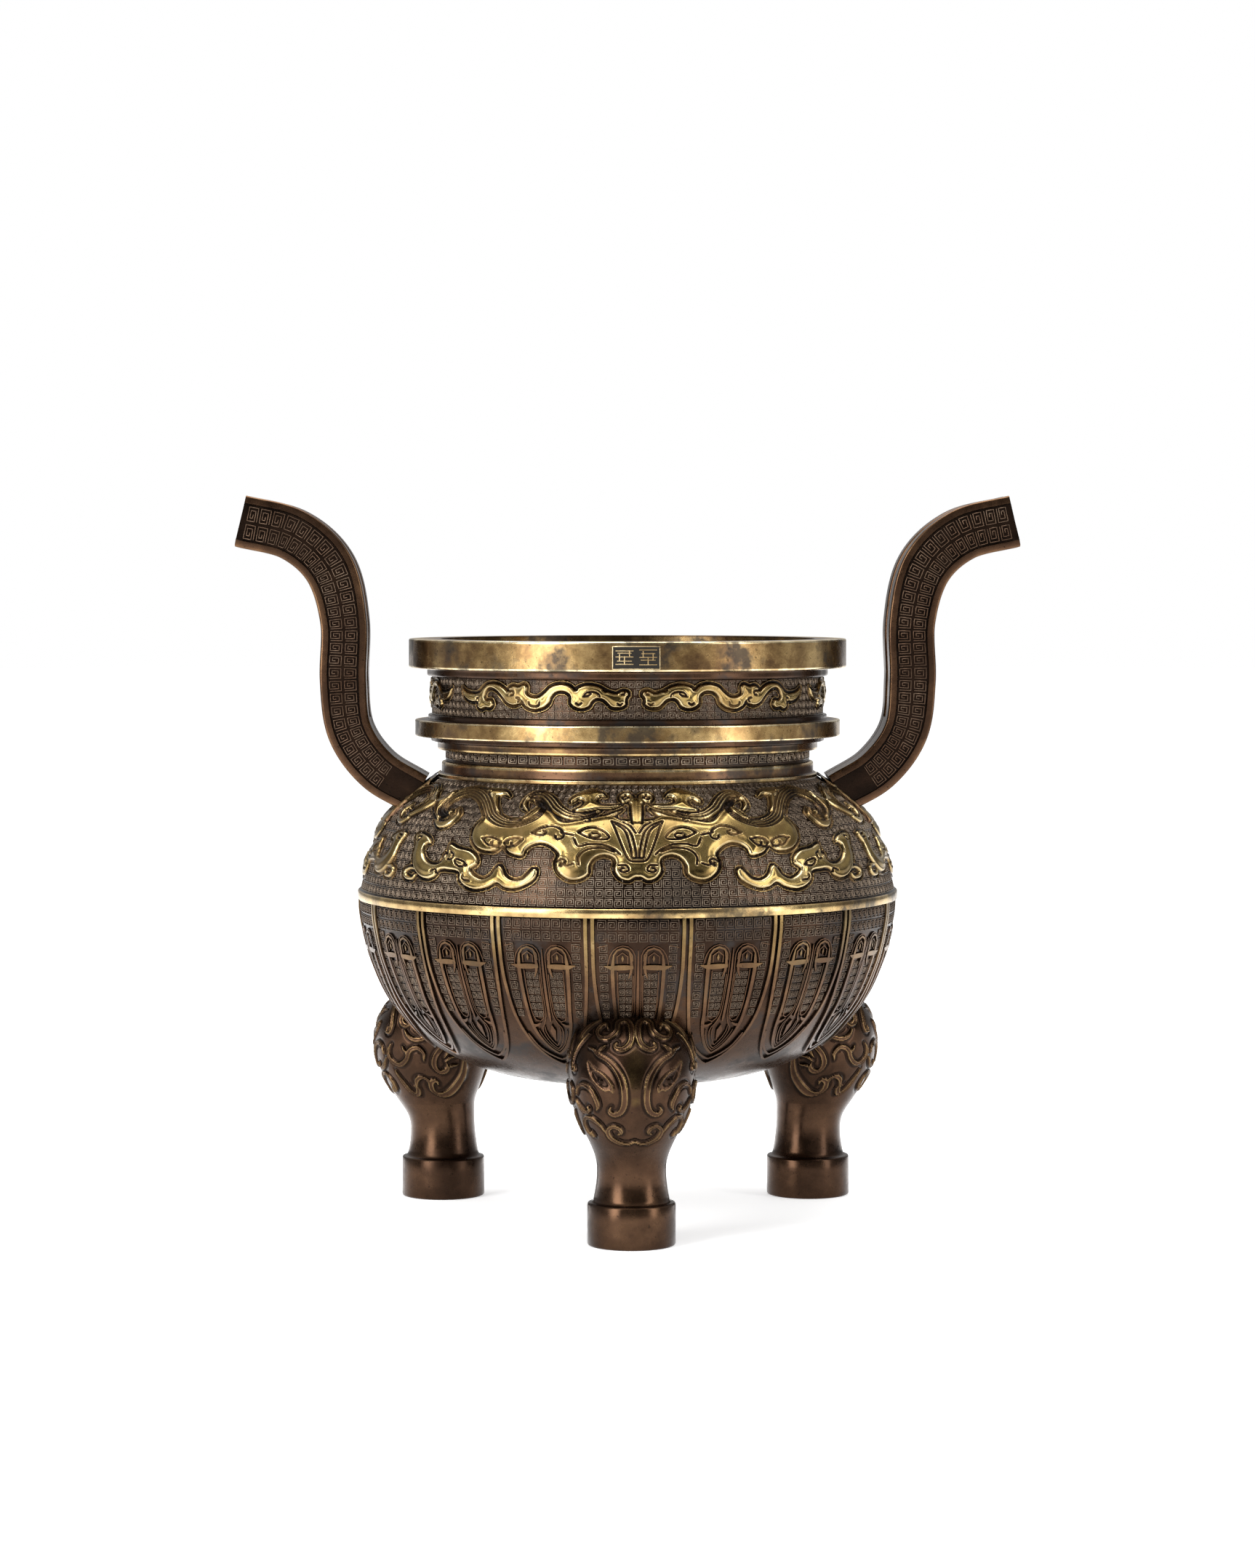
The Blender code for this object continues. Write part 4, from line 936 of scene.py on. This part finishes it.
def knee_heights(angles, arcs):
    """The mask's relief over the knee: bands with raised edges, framed eyes and their balls."""
    away, arc = np.meshgrid(np.abs((angles - KNEE_TURN + 180.0) % 360.0 - 180.0), arcs)
    u = np.radians(away) * KNEE.radius(arc)
    bands = np.full(u.shape, 1e9)
    for band in KNEE_BANDS:
        bands = np.minimum(bands, segment_distance(u, arc, knee_line(band)))
    eye = plate_distance(u, arc, knee_line(KNEE_EYE, True)[:, :2])
    hollow = plate_distance(u, arc, knee_line(KNEE_EYE_INNER, True)[:, :2])
    middle = math.radians(KNEE_PUPIL[0]) * float(KNEE.radius(KNEE.arc(KNEE_PUPIL[1])))
    ball = np.hypot(u - middle, arc - float(KNEE.arc(KNEE_PUPIL[1]))) - KNEE_PUPIL[2]
    inside = smoothstep(0.3, -0.5, bands)
    rim = smoothstep(0.62, 0.12, np.abs(bands + 0.42))
    groove = smoothstep(1.2, 0.3, np.abs(bands - 0.65))
    eye_rim = smoothstep(0.6, 0.1, np.abs(eye + 0.4))
    hole = smoothstep(0.1, -0.7, hollow)
    lift = 0.55 * inside + 0.75 * rim - 0.35 * groove
    lift = lift + smoothstep(0.2, -0.4, eye) * 0.5 + eye_rim * 0.75 - hole * 0.8
    lift = lift + smoothstep(0.1, -1.2, ball) * 1.3
    edge = np.maximum(rim, eye_rim)
    patch = smoothstep(11.0, 2.0, np.hypot(away * 0.62, (arc - float(KNEE.arc(102.0))) * 0.5))
    patch = np.maximum(patch, smoothstep(5.0, 1.0, np.hypot(away * 0.6, arc - float(KNEE.arc(84.0)))))
    gilt = np.clip(edge * 0.5 + smoothstep(0.1, -1.0, ball) * 0.3 + 0.55 * patch, 0.0, 1.0)
    shade = np.clip(0.41 + 0.22 * edge - 0.25 * groove - 0.2 * hole + 0.05 * inside, 0.0, 1.0)
    return lift, shade, gilt


def leg_rows():
    """Rows below the knee's mask: the ankle, then the foot with its rounded edges, as (radius, height)."""
    ankle = [(leg_radius(z), z) for z in np.linspace(KNEE_MESH_LOW_Z, FOOT_HEIGHT + FOOT_CHAMFER, 14)]
    soft, radius, height = 1.2, FOOT_RADIUS, FOOT_HEIGHT
    foot = [(WAIST_RADIUS + ANKLE_FLARE + 0.8, height + 0.15), (radius - soft, height),
            (radius - soft * 0.3, height - soft * 0.3), (radius, height - soft), (radius, height * 0.66),
            (radius, height * 0.33), (radius, soft), (radius - soft * 0.3, soft * 0.3), (radius - soft, 0.0),
            (radius * 0.5, 0.0), (0.05, 0.0)]
    return ankle + foot


def inside_body(points, depth):
    """Whether places lie deeper than that inside the bowl's outer side."""
    radius = np.interp(points[:, 2], BODY.z[::-1], BODY.r[::-1], left=0.0)
    return np.hypot(points[:, 0], points[:, 1]) < radius - depth


def leg_mesh():
    """One leg at the front: places, faces and shades, without what the bowl hides."""
    angles = knee_columns()
    arcs = np.linspace(KNEE.s[0] + 0.2, float(KNEE.arc(KNEE_MESH_LOW_Z)), 150)
    lift, shade, gilt = knee_heights(angles, arcs)
    grid_angle, grid_arc = np.meshgrid(angles, arcs)
    knee = KNEE.place(grid_angle, grid_arc, lift).reshape(-1, 3)
    knee_faces = grid_faces(len(arcs), len(angles), closed=True)
    knee_faces = knee_faces[~inside_body(knee, 1.5)[knee_faces].all(axis=1)]
    rows = []
    turn = np.arange(LOWER_LEG_STEPS) * math.tau / LOWER_LEG_STEPS
    for radius, z in leg_rows():
        y = -float(leg_lean(np.array(z))) - radius * np.cos(turn)
        rows.append(np.column_stack([radius * np.sin(turn), y, np.full(len(turn), z)]))
    lower = np.vstack(rows)
    lower_faces = grid_faces(len(rows), len(turn), closed=True) + len(knee)
    shades = np.concatenate([shade.ravel(), np.full(len(lower), 0.44)])
    gilts = np.concatenate([gilt.ravel(), np.full(len(lower), 0.06)])
    return np.vstack([knee, lower]), np.vstack([knee_faces, lower_faces]), shades, gilts


# The handles

def handle_frames(steps):
    """The middle line with its thickness, the direction across it, and its run."""
    line = smooth_line(HANDLE_PATH, steps)
    along = np.gradient(line[:, :2], axis=0)
    along /= np.linalg.norm(along, axis=1)[:, None]
    across = np.stack([-along[:, 1], along[:, 0]], axis=1)
    run = np.concatenate([[0.0], np.cumsum(np.linalg.norm(np.diff(line[:, :2], axis=0), axis=1))])
    return line, across, run


PANEL_BORDER, PANEL_DEPTH, ARRIS = 4.2, 0.9, 1.4


def arm_section(half_thick, low_y, high_y, panel_side):
    """One arm's cross-section as (across, y, brightness, gilt), with a sunk panel on its outer side."""
    t, r = half_thick, ARRIS
    corner = [(math.sin(a), 1 - math.cos(a)) for a in np.linspace(0, math.pi / 2, 5)]
    rows = []
    sunk = PANEL_DEPTH * (1.0 if panel_side else 0.0)
    edge = t - PANEL_BORDER
    floor = high_y - sunk
    # The side at high_y with the panel, from one arris to the other
    rows += [(-edge, high_y, 0.5, 0.1), (-edge + 0.5, floor, 0.1, 0.0), (0.0, floor, 0.25, 0.0),
             (edge - 0.5, floor, 0.1, 0.0), (edge, high_y, 0.5, 0.1)]
    rows += [(t - r + r * x, high_y - r * y, 0.62, 0.2 if 0.2 < x < 0.95 else 0.05) for x, y in corner]
    rows += [(t, (low_y + high_y) / 2, 0.5, 0.06)]
    rows += [(t - r * y, low_y + r - r * x, 0.6, 0.15) for x, y in corner]
    rows += [(0.0, low_y, 0.4, 0.05)]
    rows += [(-t + r - r * x, low_y + r * y, 0.6, 0.15) for x, y in corner]
    rows += [(-t, (low_y + high_y) / 2, 0.5, 0.06)]
    rows += [(-t + r * y, high_y - r + r * x, 0.62, 0.2 if 0.2 < x < 0.95 else 0.05) for x, y in corner]
    return np.array(rows)


def loft(frames, rows, section_at, side, inset=0.0):
    """Places, closed faces and shades of sections along the handle's line, with its ends set in by inset."""
    line, across, _ = frames
    rings, lift, gilt = [], [], []
    for i in rows:
        section = section_at(line[i, 2] / 2)
        pull = inset * ((i == rows[0]) - (i == rows[-1]))
        middle = line[i, :2] + pull * np.array([across[i, 1], -across[i, 0]])
        place = middle + across[i] * section[:, :1]
        rings.append(np.column_stack([place[:, 0] * side, section[:, 1], place[:, 1]]))
        lift.append(section[:, 2])
        gilt.append(section[:, 3])
    size = len(rings[0])
    faces = grid_faces(len(rings), size, closed=True)
    points = np.vstack(rings)
    caps, middle = [], []
    for base, ring in ((0, rings[0]), ((len(rings) - 1) * size, rings[-1])):
        middle.append(ring.mean(axis=0))
        centre = np.full(size // 2, len(points) + len(middle) - 1)
        first = np.arange(0, size, 2)
        fan = np.stack([centre, base + first, base + first + 1, base + (first + 2) % size], axis=-1)
        caps.append(fan if base == 0 else fan[:, ::-1])
    points = np.vstack([points, middle])
    lift = np.concatenate([*lift, [0.5, 0.5]])
    gilt = np.concatenate([*gilt, [0.1, 0.1]])
    return points, np.vstack([faces, *caps]), lift, gilt


def make_handle(name, node, side, material):
    """Two arms with a slot between them, closed at the root and by the crossbar at the end."""
    frames = handle_frames(HANDLE_RINGS)
    line, _, run = frames
    half, slot = HANDLE_WIDTH / 2, HANDLE_SLOT / 2
    everywhere = range(len(line))
    root = [i for i in everywhere if run[i] < SLOT_FROM_ROOT + 1.0]
    end = [i for i in everywhere if run[i] > run[-1] - CROSSBAR - 0.5]
    mirrored = np.array([1.0, -1.0, 1.0, 1.0])

    def arm(thick):
        return arm_section(thick, slot, half, True)

    def block(thick):
        return arm_section(thick - 0.15, -slot - 3.0, slot + 3.0, False)

    parts = [
        loft(frames, everywhere, arm, side),
        loft(frames, everywhere, lambda thick: arm(thick) * mirrored, side),
        loft(frames, root, block, side, 0.2),
        loft(frames, end, block, side, 0.2),
    ]
    points, faces, lift, gilt, count = [], [], [], [], 0
    for i, (places, quads, high, gold) in enumerate(parts):
        turned_over = (side < 0) != (i == 1)
        points.append(places)
        faces.append((quads[:, ::-1] if turned_over else quads) + count)
        lift.append(high)
        gilt.append(gold)
        count += len(places)
    piece = make_piece(name, np.vstack(points), np.vstack(faces), np.concatenate(lift), np.concatenate(gilt),
                       material, "handle_bronze")
    piece.data.set_sharp_from_angle(angle=math.radians(55))
    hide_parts(node)


class FlatSide:
    """The flat side of a handle, read by the run along its line and the place across it."""

    def __init__(self, frames, side, face):
        self.frames, self.side, self.face = frames, side, face

    def radius(self, s):
        return 180.0 / math.pi

    def place(self, across_by, s, lift):
        line, across, run = self.frames
        x, z = np.interp(s, run, line[:, 0]), np.interp(s, run, line[:, 1])
        ax, az = np.interp(s, run, across[:, 0]), np.interp(s, run, across[:, 1])
        y = np.full(x.shape, self.face * (HANDLE_WIDTH / 2 - PANEL_DEPTH + lift))
        return np.stack([self.side * (x + ax * across_by), y, z + az * across_by], axis=-1)


def handle_spirals(name, side, material):
    """Two columns of square spirals in the sunk panels of a handle's two sides."""
    frames = handle_frames(HANDLE_RINGS)
    line, _, run = frames
    rows = 26
    start, stop = 20.0, run[-1] - 3.0
    pitch = (stop - start) / rows
    ribbons = Ribbons(None)
    for face in (-1.0, 1.0):
        ribbons.surface = FlatSide(frames, side, face)
        half_arc = pitch / 2 * 0.96
        for row in range(rows):
            s = start + pitch * (row + 0.5)
            width = (np.interp(s, run, line[:, 2]) - 2 * PANEL_BORDER - 1.0) / 2
            half_width = width / 2 * 0.96 * (face * side)
            for column in (-0.5, 0.5):
                places = np.array([column * width]), np.array([s])
                spiral_field(ribbons, *places, half_width, half_arc, 0.62, 0.62, 0.85, 0.0)
    ribbons.piece(name, material, "handle_bronze")


# Lumps of metal along a collar's edge, as (across, down, size)
COLLAR_LUMPS = ((-22.5, 4.0, 2.6), (-23.5, 12.0, 2.2), (23.0, 6.0, 2.4), (22.0, 15.0, 2.0))


def make_collar(name, side, material):
    """The plate that seats a handle on the shoulder, with a raised ridge and a few lumps along its edge."""
    half = HANDLE_WIDTH / 2 + COLLAR_MARGIN
    mean = float(BODY.radius(BODY.arc(238.0))) * math.pi / 180
    angles = np.linspace(-half / mean * 1.08, half / mean * 1.08, 90)
    arcs = np.linspace(0.3, float(BODY.arc(COLLAR_LOW_Z)) + 1.0, 56)
    grid_angle, grid_arc = np.meshgrid(angles, arcs)
    flat = grid_angle * BODY.radius(grid_arc) * math.pi / 180
    low = float(BODY.arc(COLLAR_LOW_Z))
    dx = np.abs(flat) - (half - 3.0)
    dy = grid_arc - (low - 3.0)
    outside = np.hypot(np.maximum(dx, 0), np.maximum(dy, 0)) + np.minimum(np.maximum(dx, dy), 0) - 3.0
    waver = 0.35 * np.sin(flat * 0.9) * np.sin(grid_arc * 0.7 + 1.3) + 0.25 * np.sin(flat * 2.3 + grid_arc)
    ridge = smoothstep(1.9, 0.3, np.abs(outside + 2.2))
    lumps = np.zeros(flat.shape)
    for at, down, size in (*COLLAR_LUMPS, (12.0, low - 2.4, 2.0)):
        lumps = np.maximum(lumps, smoothstep(size, 0.3, np.hypot(flat - at, grid_arc - down)))
    plate = smoothstep(0.2, -1.1, outside)
    lift = plate * (COLLAR_THICKNESS - 1.4 + 1.0 * ridge + 0.35 * waver)
    lift = lift + lumps * 0.9 * plate - 0.6 * (1 - plate)
    points = BODY.place(grid_angle + 90.0 * side, grid_arc, lift).reshape(-1, 3)
    # The ridge and lumps are painted lighter and gilt: a painted highlight standing in for gold reflections
    # along the collar's edge.
    shade = (0.35 + 0.5 * ridge * plate + 0.2 * lumps).ravel()
    gilt = np.clip(0.7 * ridge * plate + 0.3 * lumps + 0.1, 0, 1).ravel()
    make_piece(name, points, grid_faces(len(arcs), len(angles)), shade, gilt, material, "handle_bronze")


# The cartouche on the rim

CARTOUCHE_ANGLE, CARTOUCHE_HEIGHT = 5.9, 12.4
# Strokes of two marks that aren't letters, as (across, up) in shares of a mark's half size
MARK_STROKES = (
    ((-0.9, 0.8), (0.9, 0.8)),
    ((-0.7, 0.45), (0.7, 0.45)),
    ((-0.9, 0.1), (0.9, 0.1)),
    ((-0.75, -0.3), (0.75, -0.3)),
    ((-0.9, -0.75), (0.9, -0.75)),
    ((-0.5, 0.8), (-0.5, 0.1)),
    ((0.5, 0.45), (0.5, -0.3)),
    ((0, 0.1), (0, -0.75)),
)


def cartouche(material, ground):
    """A framed panel with two groups of strokes in place of an inscription."""
    rim = Turned([(RIM_RADIUS, RIM_TOP_Z), (RIM_RADIUS, RIM_LOW_Z)])
    middle = (RIM_TOP_Z + RIM_LOW_Z) / 2 - 0.4
    half = CARTOUCHE_HEIGHT / 2
    ribbons = Ribbons(rim)
    metric = RIM_RADIUS * math.pi / 180
    wide = CARTOUCHE_ANGLE
    corners = [(-wide, -half), (wide, -half), (wide, half), (-wide, half)]
    centre = float(rim.arc(middle))
    path = []
    for (a, s), (b, t) in zip(corners, corners[1:] + corners[:1]):
        path += [(a + (b - a) * k / 6, s + (t - s) * k / 6) for k in range(6)]
    path = np.array(path) * np.array([metric, 1.0])
    scale = np.array([1.0 / metric, 1.0])
    left, right = ribbon(path, 0.7, closed=True)
    left, right = left * scale + (0.0, centre), right * scale + (0.0, centre)
    ribbons.add(left[None], right[None], 0.35, 0.95, 0.95, closed=True)
    for side in (-1.0, 1.0):
        for number, (start, end) in enumerate(MARK_STROKES):
            sway = 0.06 * math.sin(2.1 * number + side)
            ends = [((x * side * 0.42 + side * 0.5) * CARTOUCHE_ANGLE * metric, -(y + sway) * half * 0.82)
                    for x, y in (start, end)]
            line = np.linspace(ends[0], ends[1], 4)
            across, down = line[-1] - line[0]
            if across < 0 or abs(across) < 0.1 and down < 0:
                line = line[::-1]
            left, right = ribbon(line, 0.8)
            left, right = left * scale + (0.0, centre), right * scale + (0.0, centre)
            ribbons.add(left[None], right[None], 0.3, 0.8, 0.8)
    ribbons.piece("cartouche_strokes", material, angle=ORNAMENT_TURN)
    angles = np.linspace(-CARTOUCHE_ANGLE, CARTOUCHE_ANGLE, 30)
    arcs = np.linspace(centre - half, centre + half, 12)
    grid_angle, grid_arc = np.meshgrid(angles, arcs)
    points = rim.place(grid_angle, grid_arc, 0.06).reshape(-1, 3)
    make_piece("cartouche_ground", points, grid_faces(12, 30), 0.15, 0.0, ground, angle=ORNAMENT_TURN)


# Materials

def node_of(tree, kind, **values):
    node = tree.nodes.new(kind)
    for name, value in values.items():
        setattr(node, name, value)
    return node


def ramp(tree, source, stops):
    """A colour ramp over a value, from (place, colour) stops."""
    node = tree.nodes.new("ShaderNodeValToRGB")
    elements = node.color_ramp.elements
    while len(elements) < len(stops):
        elements.new(0.5)
    for element, (place, color) in zip(elements, stops):
        element.position = place
        element.color = (*color, 1.0)
    tree.links.new(source, node.inputs["Fac"])
    return node.outputs["Color"]


def noise(tree, scale, detail=4.0, roughness=0.6):
    """Noise in object space, with its scale in waves a metre."""
    coordinates = tree.nodes.get("place") or node_of(tree, "ShaderNodeTexCoord", name="place")
    node = node_of(tree, "ShaderNodeTexNoise")
    node.inputs["Scale"].default_value = scale
    node.inputs["Detail"].default_value = detail
    node.inputs["Roughness"].default_value = roughness
    tree.links.new(coordinates.outputs["Object"], node.inputs["Vector"])
    return node.outputs["Fac"]


def math_of(tree, operation, first, second, clamp=False):
    node = node_of(tree, "ShaderNodeMath", operation=operation, use_clamp=clamp)
    for socket, value in zip(node.inputs, (first, second)):
        if isinstance(value, (int, float)):
            socket.default_value = value
        else:
            tree.links.new(value, socket)
    return node.outputs[0]


def mixed(tree, share, first, second):
    node = node_of(tree, "ShaderNodeMix", data_type="RGBA")
    for name, value in (("Factor", share), ("A", first), ("B", second)):
        socket = [s for s in node.inputs if s.name == name and s.enabled][0]
        if isinstance(value, tuple):
            socket.default_value = (*value, 1.0)
        elif isinstance(value, float):
            socket.default_value = value
        else:
            tree.links.new(value, socket)
    return [s for s in node.outputs if s.enabled][0]


def stains(tree, source, low, high):
    """A mask from noise, empty below one value and full above another."""
    return ramp(tree, source, ((low, (0.0, 0.0, 0.0)), (high, (1.0, 1.0, 1.0))))


def bronze(name, browns, patch, patch_share, roughness, metallic, golds=None, wear=0.5):
    """A patinated bronze: browns by the lift value, which follows height and holds painted light in places,
    gold where it is gilt, with stains, pits and grain.
    """
    material = bpy.data.materials.new(name)
    material.use_nodes = True
    tree = material.node_tree
    shader = tree.nodes["Principled BSDF"]
    lift = node_of(tree, "ShaderNodeAttribute", attribute_name="lift").outputs["Fac"]
    gilt = node_of(tree, "ShaderNodeAttribute", attribute_name="gilt").outputs["Fac"]
    broad, middle, fine = noise(tree, 24.0, 4.0), noise(tree, 110.0, 6.0, 0.7), noise(tree, 900.0, 3.0)
    sway = math_of(tree, "MULTIPLY", math_of(tree, "SUBTRACT", middle, 0.5), 0.3)
    sway = math_of(tree, "ADD", sway, math_of(tree, "MULTIPLY", math_of(tree, "SUBTRACT", broad, 0.5), 0.5))
    high = math_of(tree, "ADD", lift, sway, True)
    brown = ramp(tree, high, browns)
    gold = ramp(tree, high, golds or GOLD_STOPS)
    rubbed_and_highlit = math_of(tree, "MULTIPLY", math_of(tree, "SUBTRACT", middle, 0.55), wear)
    worn = math_of(tree, "MULTIPLY", math_of(tree, "SUBTRACT", broad, 0.52), 2.2 * wear)
    rubbed_and_highlit = math_of(tree, "ADD", rubbed_and_highlit, worn)
    share = math_of(tree, "MULTIPLY", math_of(tree, "ADD", gilt, rubbed_and_highlit, True),
                    math_of(tree, "MULTIPLY", gilt, 1.2, True))
    color = mixed(tree, share, brown, gold)
    stained = math_of(tree, "MULTIPLY", stains(tree, noise(tree, 31.0, 5.0), 0.5, 0.58), patch_share)
    stained = math_of(tree, "MULTIPLY", stained, stains(tree, middle, 0.32, 0.55), True)
    color = mixed(tree, stained, color, patch)
    pits = stains(tree, noise(tree, 420.0, 2.0), 0.66, 0.72)
    color = mixed(tree, math_of(tree, "MULTIPLY", pits, 0.5), color, DARK)
    tree.links.new(color, shader.inputs["Base Color"])
    rough = math_of(tree, "MULTIPLY", math_of(tree, "SUBTRACT", middle, 0.5), 0.3)
    rough = math_of(tree, "ADD", rough, math_of(tree, "MULTIPLY", stained, 0.12))
    smoother = math_of(tree, "SUBTRACT", roughness, math_of(tree, "MULTIPLY", share, 0.06))
    rough = math_of(tree, "ADD", rough, smoother, True)
    tree.links.new(rough, shader.inputs["Roughness"])
    metal = math_of(tree, "ADD", metallic, math_of(tree, "MULTIPLY", share, 1.0 - metallic), True)
    tree.links.new(metal, shader.inputs["Metallic"])
    bump = node_of(tree, "ShaderNodeBump")
    bump.inputs["Strength"].default_value = 0.14
    bump.inputs["Distance"].default_value = 0.0004
    rise = math_of(tree, "ADD", math_of(tree, "MULTIPLY", fine, 0.12), middle)
    rise = math_of(tree, "SUBTRACT", rise, math_of(tree, "MULTIPLY", pits, 0.6))
    tree.links.new(rise, bump.inputs["Height"])
    tree.links.new(bump.outputs["Normal"], shader.inputs["Normal"])
    return material


DARK = (0.006, 0.004, 0.003)
UMBER, CHOCOLATE, RUST = (0.024, 0.013, 0.008), (0.082, 0.043, 0.024), (0.235, 0.12, 0.058)
LINE_BROWN, LINE_PALE = (0.13, 0.095, 0.067), (0.27, 0.215, 0.16)
GOLD_STOPS = ((0.0, (0.012, 0.008, 0.004)), (0.3, (0.06, 0.036, 0.013)), (0.62, (0.30, 0.21, 0.075)),
              (1.0, (0.68, 0.56, 0.34)))
RIM_STOPS = ((0.0, (0.03, 0.018, 0.011)), (0.42, (0.11, 0.056, 0.024)), (0.62, (0.33, 0.21, 0.075)),
             (0.86, (0.66, 0.48, 0.22)), (1.0, (0.95, 0.82, 0.54)))


def make_materials():
    smooth_browns = ((0.0, DARK), (0.3, UMBER), (0.6, CHOCOLATE), (1.0, RUST))
    line_browns = ((0.0, DARK), (0.4, UMBER), (0.75, LINE_BROWN), (1.0, LINE_PALE))
    dull_lines = ((0.0, DARK), (0.4, UMBER), (0.75, CHOCOLATE), (1.0, LINE_BROWN))
    return {
        "bowl": bronze("bowl_bronze", smooth_browns, (0.030, 0.026, 0.024), 0.85, 0.28, 0.95, RIM_STOPS, 1.0),
        "gilt": bronze("gilt_relief", smooth_browns, (0.13, 0.075, 0.028), 0.6, 0.29, 0.95, wear=0.8),
        "spirals": bronze("spiral_ground", line_browns, UMBER, 0.4, 0.36, 0.9),
        "lappets": bronze("lappet_bronze", smooth_browns, (0.03, 0.035, 0.025), 0.3, 0.30, 0.95, wear=0.6),
        "leg": bronze("leg_bronze", smooth_browns, UMBER, 0.5, 0.26, 0.95),
        "handle": bronze("handle_brown", smooth_browns, UMBER, 0.5, 0.27, 0.95),
        "panel": bronze("handle_panel", dull_lines, UMBER, 0.4, 0.36, 0.9),
        "cartouche": bronze("cartouche_ground", ((0.0, (0.014, 0.011, 0.008)), (1.0, (0.04, 0.034, 0.026))),
                            (0.02, 0.017, 0.014), 0.3, 0.5, 0.6),
    }


# The floor, the light and the camera

CAMERA_DISTANCE, EYE_HEIGHT, CAMERA_TURN = 2.415, 0.370, -1.0
LENS, SENSOR = 96.0, 36.0
CAMERA_PITCH = 2.897


def make_floor():
    bpy.ops.mesh.primitive_circle_add(vertices=96, radius=14.0, fill_type="NGON")
    floor = bpy.context.object
    floor.name = "floor"
    material = bpy.data.materials.new("pale_floor")
    material.use_nodes = True
    shader = material.node_tree.nodes["Principled BSDF"]
    shader.inputs["Base Color"].default_value = (0.9, 0.9, 0.9, 1.0)
    shader.inputs["Roughness"].default_value = 0.9
    shader.inputs["Specular IOR Level"].default_value = 0.1
    shader.inputs["Emission Color"].default_value = (1.0, 1.0, 1.0, 1.0)
    shader.inputs["Emission Strength"].default_value = 0.5
    floor.data.materials.append(material)


def make_world():
    """White surroundings, a little darker in reflections so that the metal keeps its contrast."""
    world = bpy.data.worlds.new("studio")
    bpy.context.scene.world = world
    world.use_nodes = True
    tree = world.node_tree
    background = tree.nodes["Background"]
    coordinates = tree.nodes.new("ShaderNodeTexCoord")
    split = tree.nodes.new("ShaderNodeSeparateXYZ")
    tree.links.new(coordinates.outputs["Generated"], split.inputs[0])
    rays = tree.nodes.new("ShaderNodeLightPath")
    rise = math_of(tree, "MULTIPLY", split.outputs["Z"], 0.5)
    rise = math_of(tree, "ADD", rise, math_of(tree, "MULTIPLY", split.outputs["Y"], 0.2))
    rise = math_of(tree, "ADD", rise, 0.5, True)
    greys = ((0.2, 0.05), (0.5, 0.07), (0.75, 0.4), (1.0, 0.9))
    mirrored = ramp(tree, rise, [(place, (grey,) * 3) for place, grey in greys])
    shade = mixed(tree, rays.outputs["Is Diffuse Ray"], (1.0, 1.0, 1.0), (0.62, 0.62, 0.62))
    shade = mixed(tree, rays.outputs["Is Glossy Ray"], shade, mirrored)
    tree.links.new(shade, background.inputs["Color"])
    background.inputs["Strength"].default_value = 1.0


def area_light(name, place, target, size, power):
    data = bpy.data.lights.new(name, "AREA")
    data.shape = "RECTANGLE"
    data.size, data.size_y = size
    data.energy = power
    light = bpy.data.objects.new(name, data)
    light.location = place
    light.rotation_mode = "QUATERNION"
    light.rotation_quaternion = (Vector(target) - Vector(place)).to_track_quat("-Z", "Y")
    bpy.context.scene.collection.objects.link(light)


def make_lights():
    middle = (0.0, 0.0, 0.2)
    area_light("key", (-1.6, -1.6, 0.9), middle, (1.0, 1.8), 46.0)
    area_light("fill", (1.8, -1.2, 0.8), middle, (0.6, 1.8), 19.0)
    area_light("top", (-0.1, 0.2, 2.0), middle, (1.6, 1.8), 48.0)


def make_camera():
    data = bpy.data.cameras.new("camera")
    camera = bpy.data.objects.new("camera", data)
    bpy.context.scene.collection.objects.link(camera)
    data.lens, data.sensor_width = LENS, SENSOR
    turn, pitch = math.radians(CAMERA_TURN), math.radians(CAMERA_PITCH)
    away = CAMERA_DISTANCE
    camera.location = (away * math.sin(turn), AXIS_Y - away * math.cos(turn), EYE_HEIGHT)
    aim = Vector((-math.sin(turn) * math.cos(pitch), math.cos(turn) * math.cos(pitch), -math.sin(pitch)))
    camera.rotation_mode = "QUATERNION"
    camera.rotation_quaternion = aim.to_track_quat("-Z", "Y")
    data.clip_end = 60.0
    bpy.context.scene.camera = camera


def main():
    bpy.context.scene.view_settings.view_transform = "Standard"
    make_camera()
    make_floor()
    make_world()
    make_lights()
    materials = make_materials()
    make_bowl(materials["bowl"])
    masks = mask_relief()
    mesh = relief_mesh(masks, 1.7, 1.0, 0.95)
    for i, name in enumerate(("mask_front", "mask_right", "mask_left")):
        make_piece(name, *mesh, materials["gilt"], angle=ORNAMENT_TURN + i * 360.0 / MASKS)
    dragons = neck_relief()
    mesh = relief_mesh(dragons, 1.35, 0.7, 0.7)
    for i, name in enumerate(("dragons_front", "dragons_right", "dragons_left")):
        make_piece(name, *mesh, materials["gilt"], angle=ORNAMENT_TURN + i * 360.0 / MASKS)
    shoulder_spirals(masks, materials["spirals"])
    neck_spirals(dragons, materials["spirals"])
    fret_spirals(materials["spirals"])
    lappets(materials["lappets"], materials["spirals"])
    mesh = leg_mesh()
    for i, name in enumerate(("leg_front", "leg_right", "leg_left")):
        make_piece(name, *mesh, materials["leg"], angle=i * 360.0 / LEGS)
    for side, word in ((-1.0, "left"), (1.0, "right")):
        make_handle(word + "_handle", "handle_" + word, side, materials["handle"])
        handle_spirals(word + "_handle_spirals", side, materials["panel"])
        make_collar(word + "_collar", side, materials["handle"])
    cartouche(materials["gilt"], materials["cartouche"])


main()
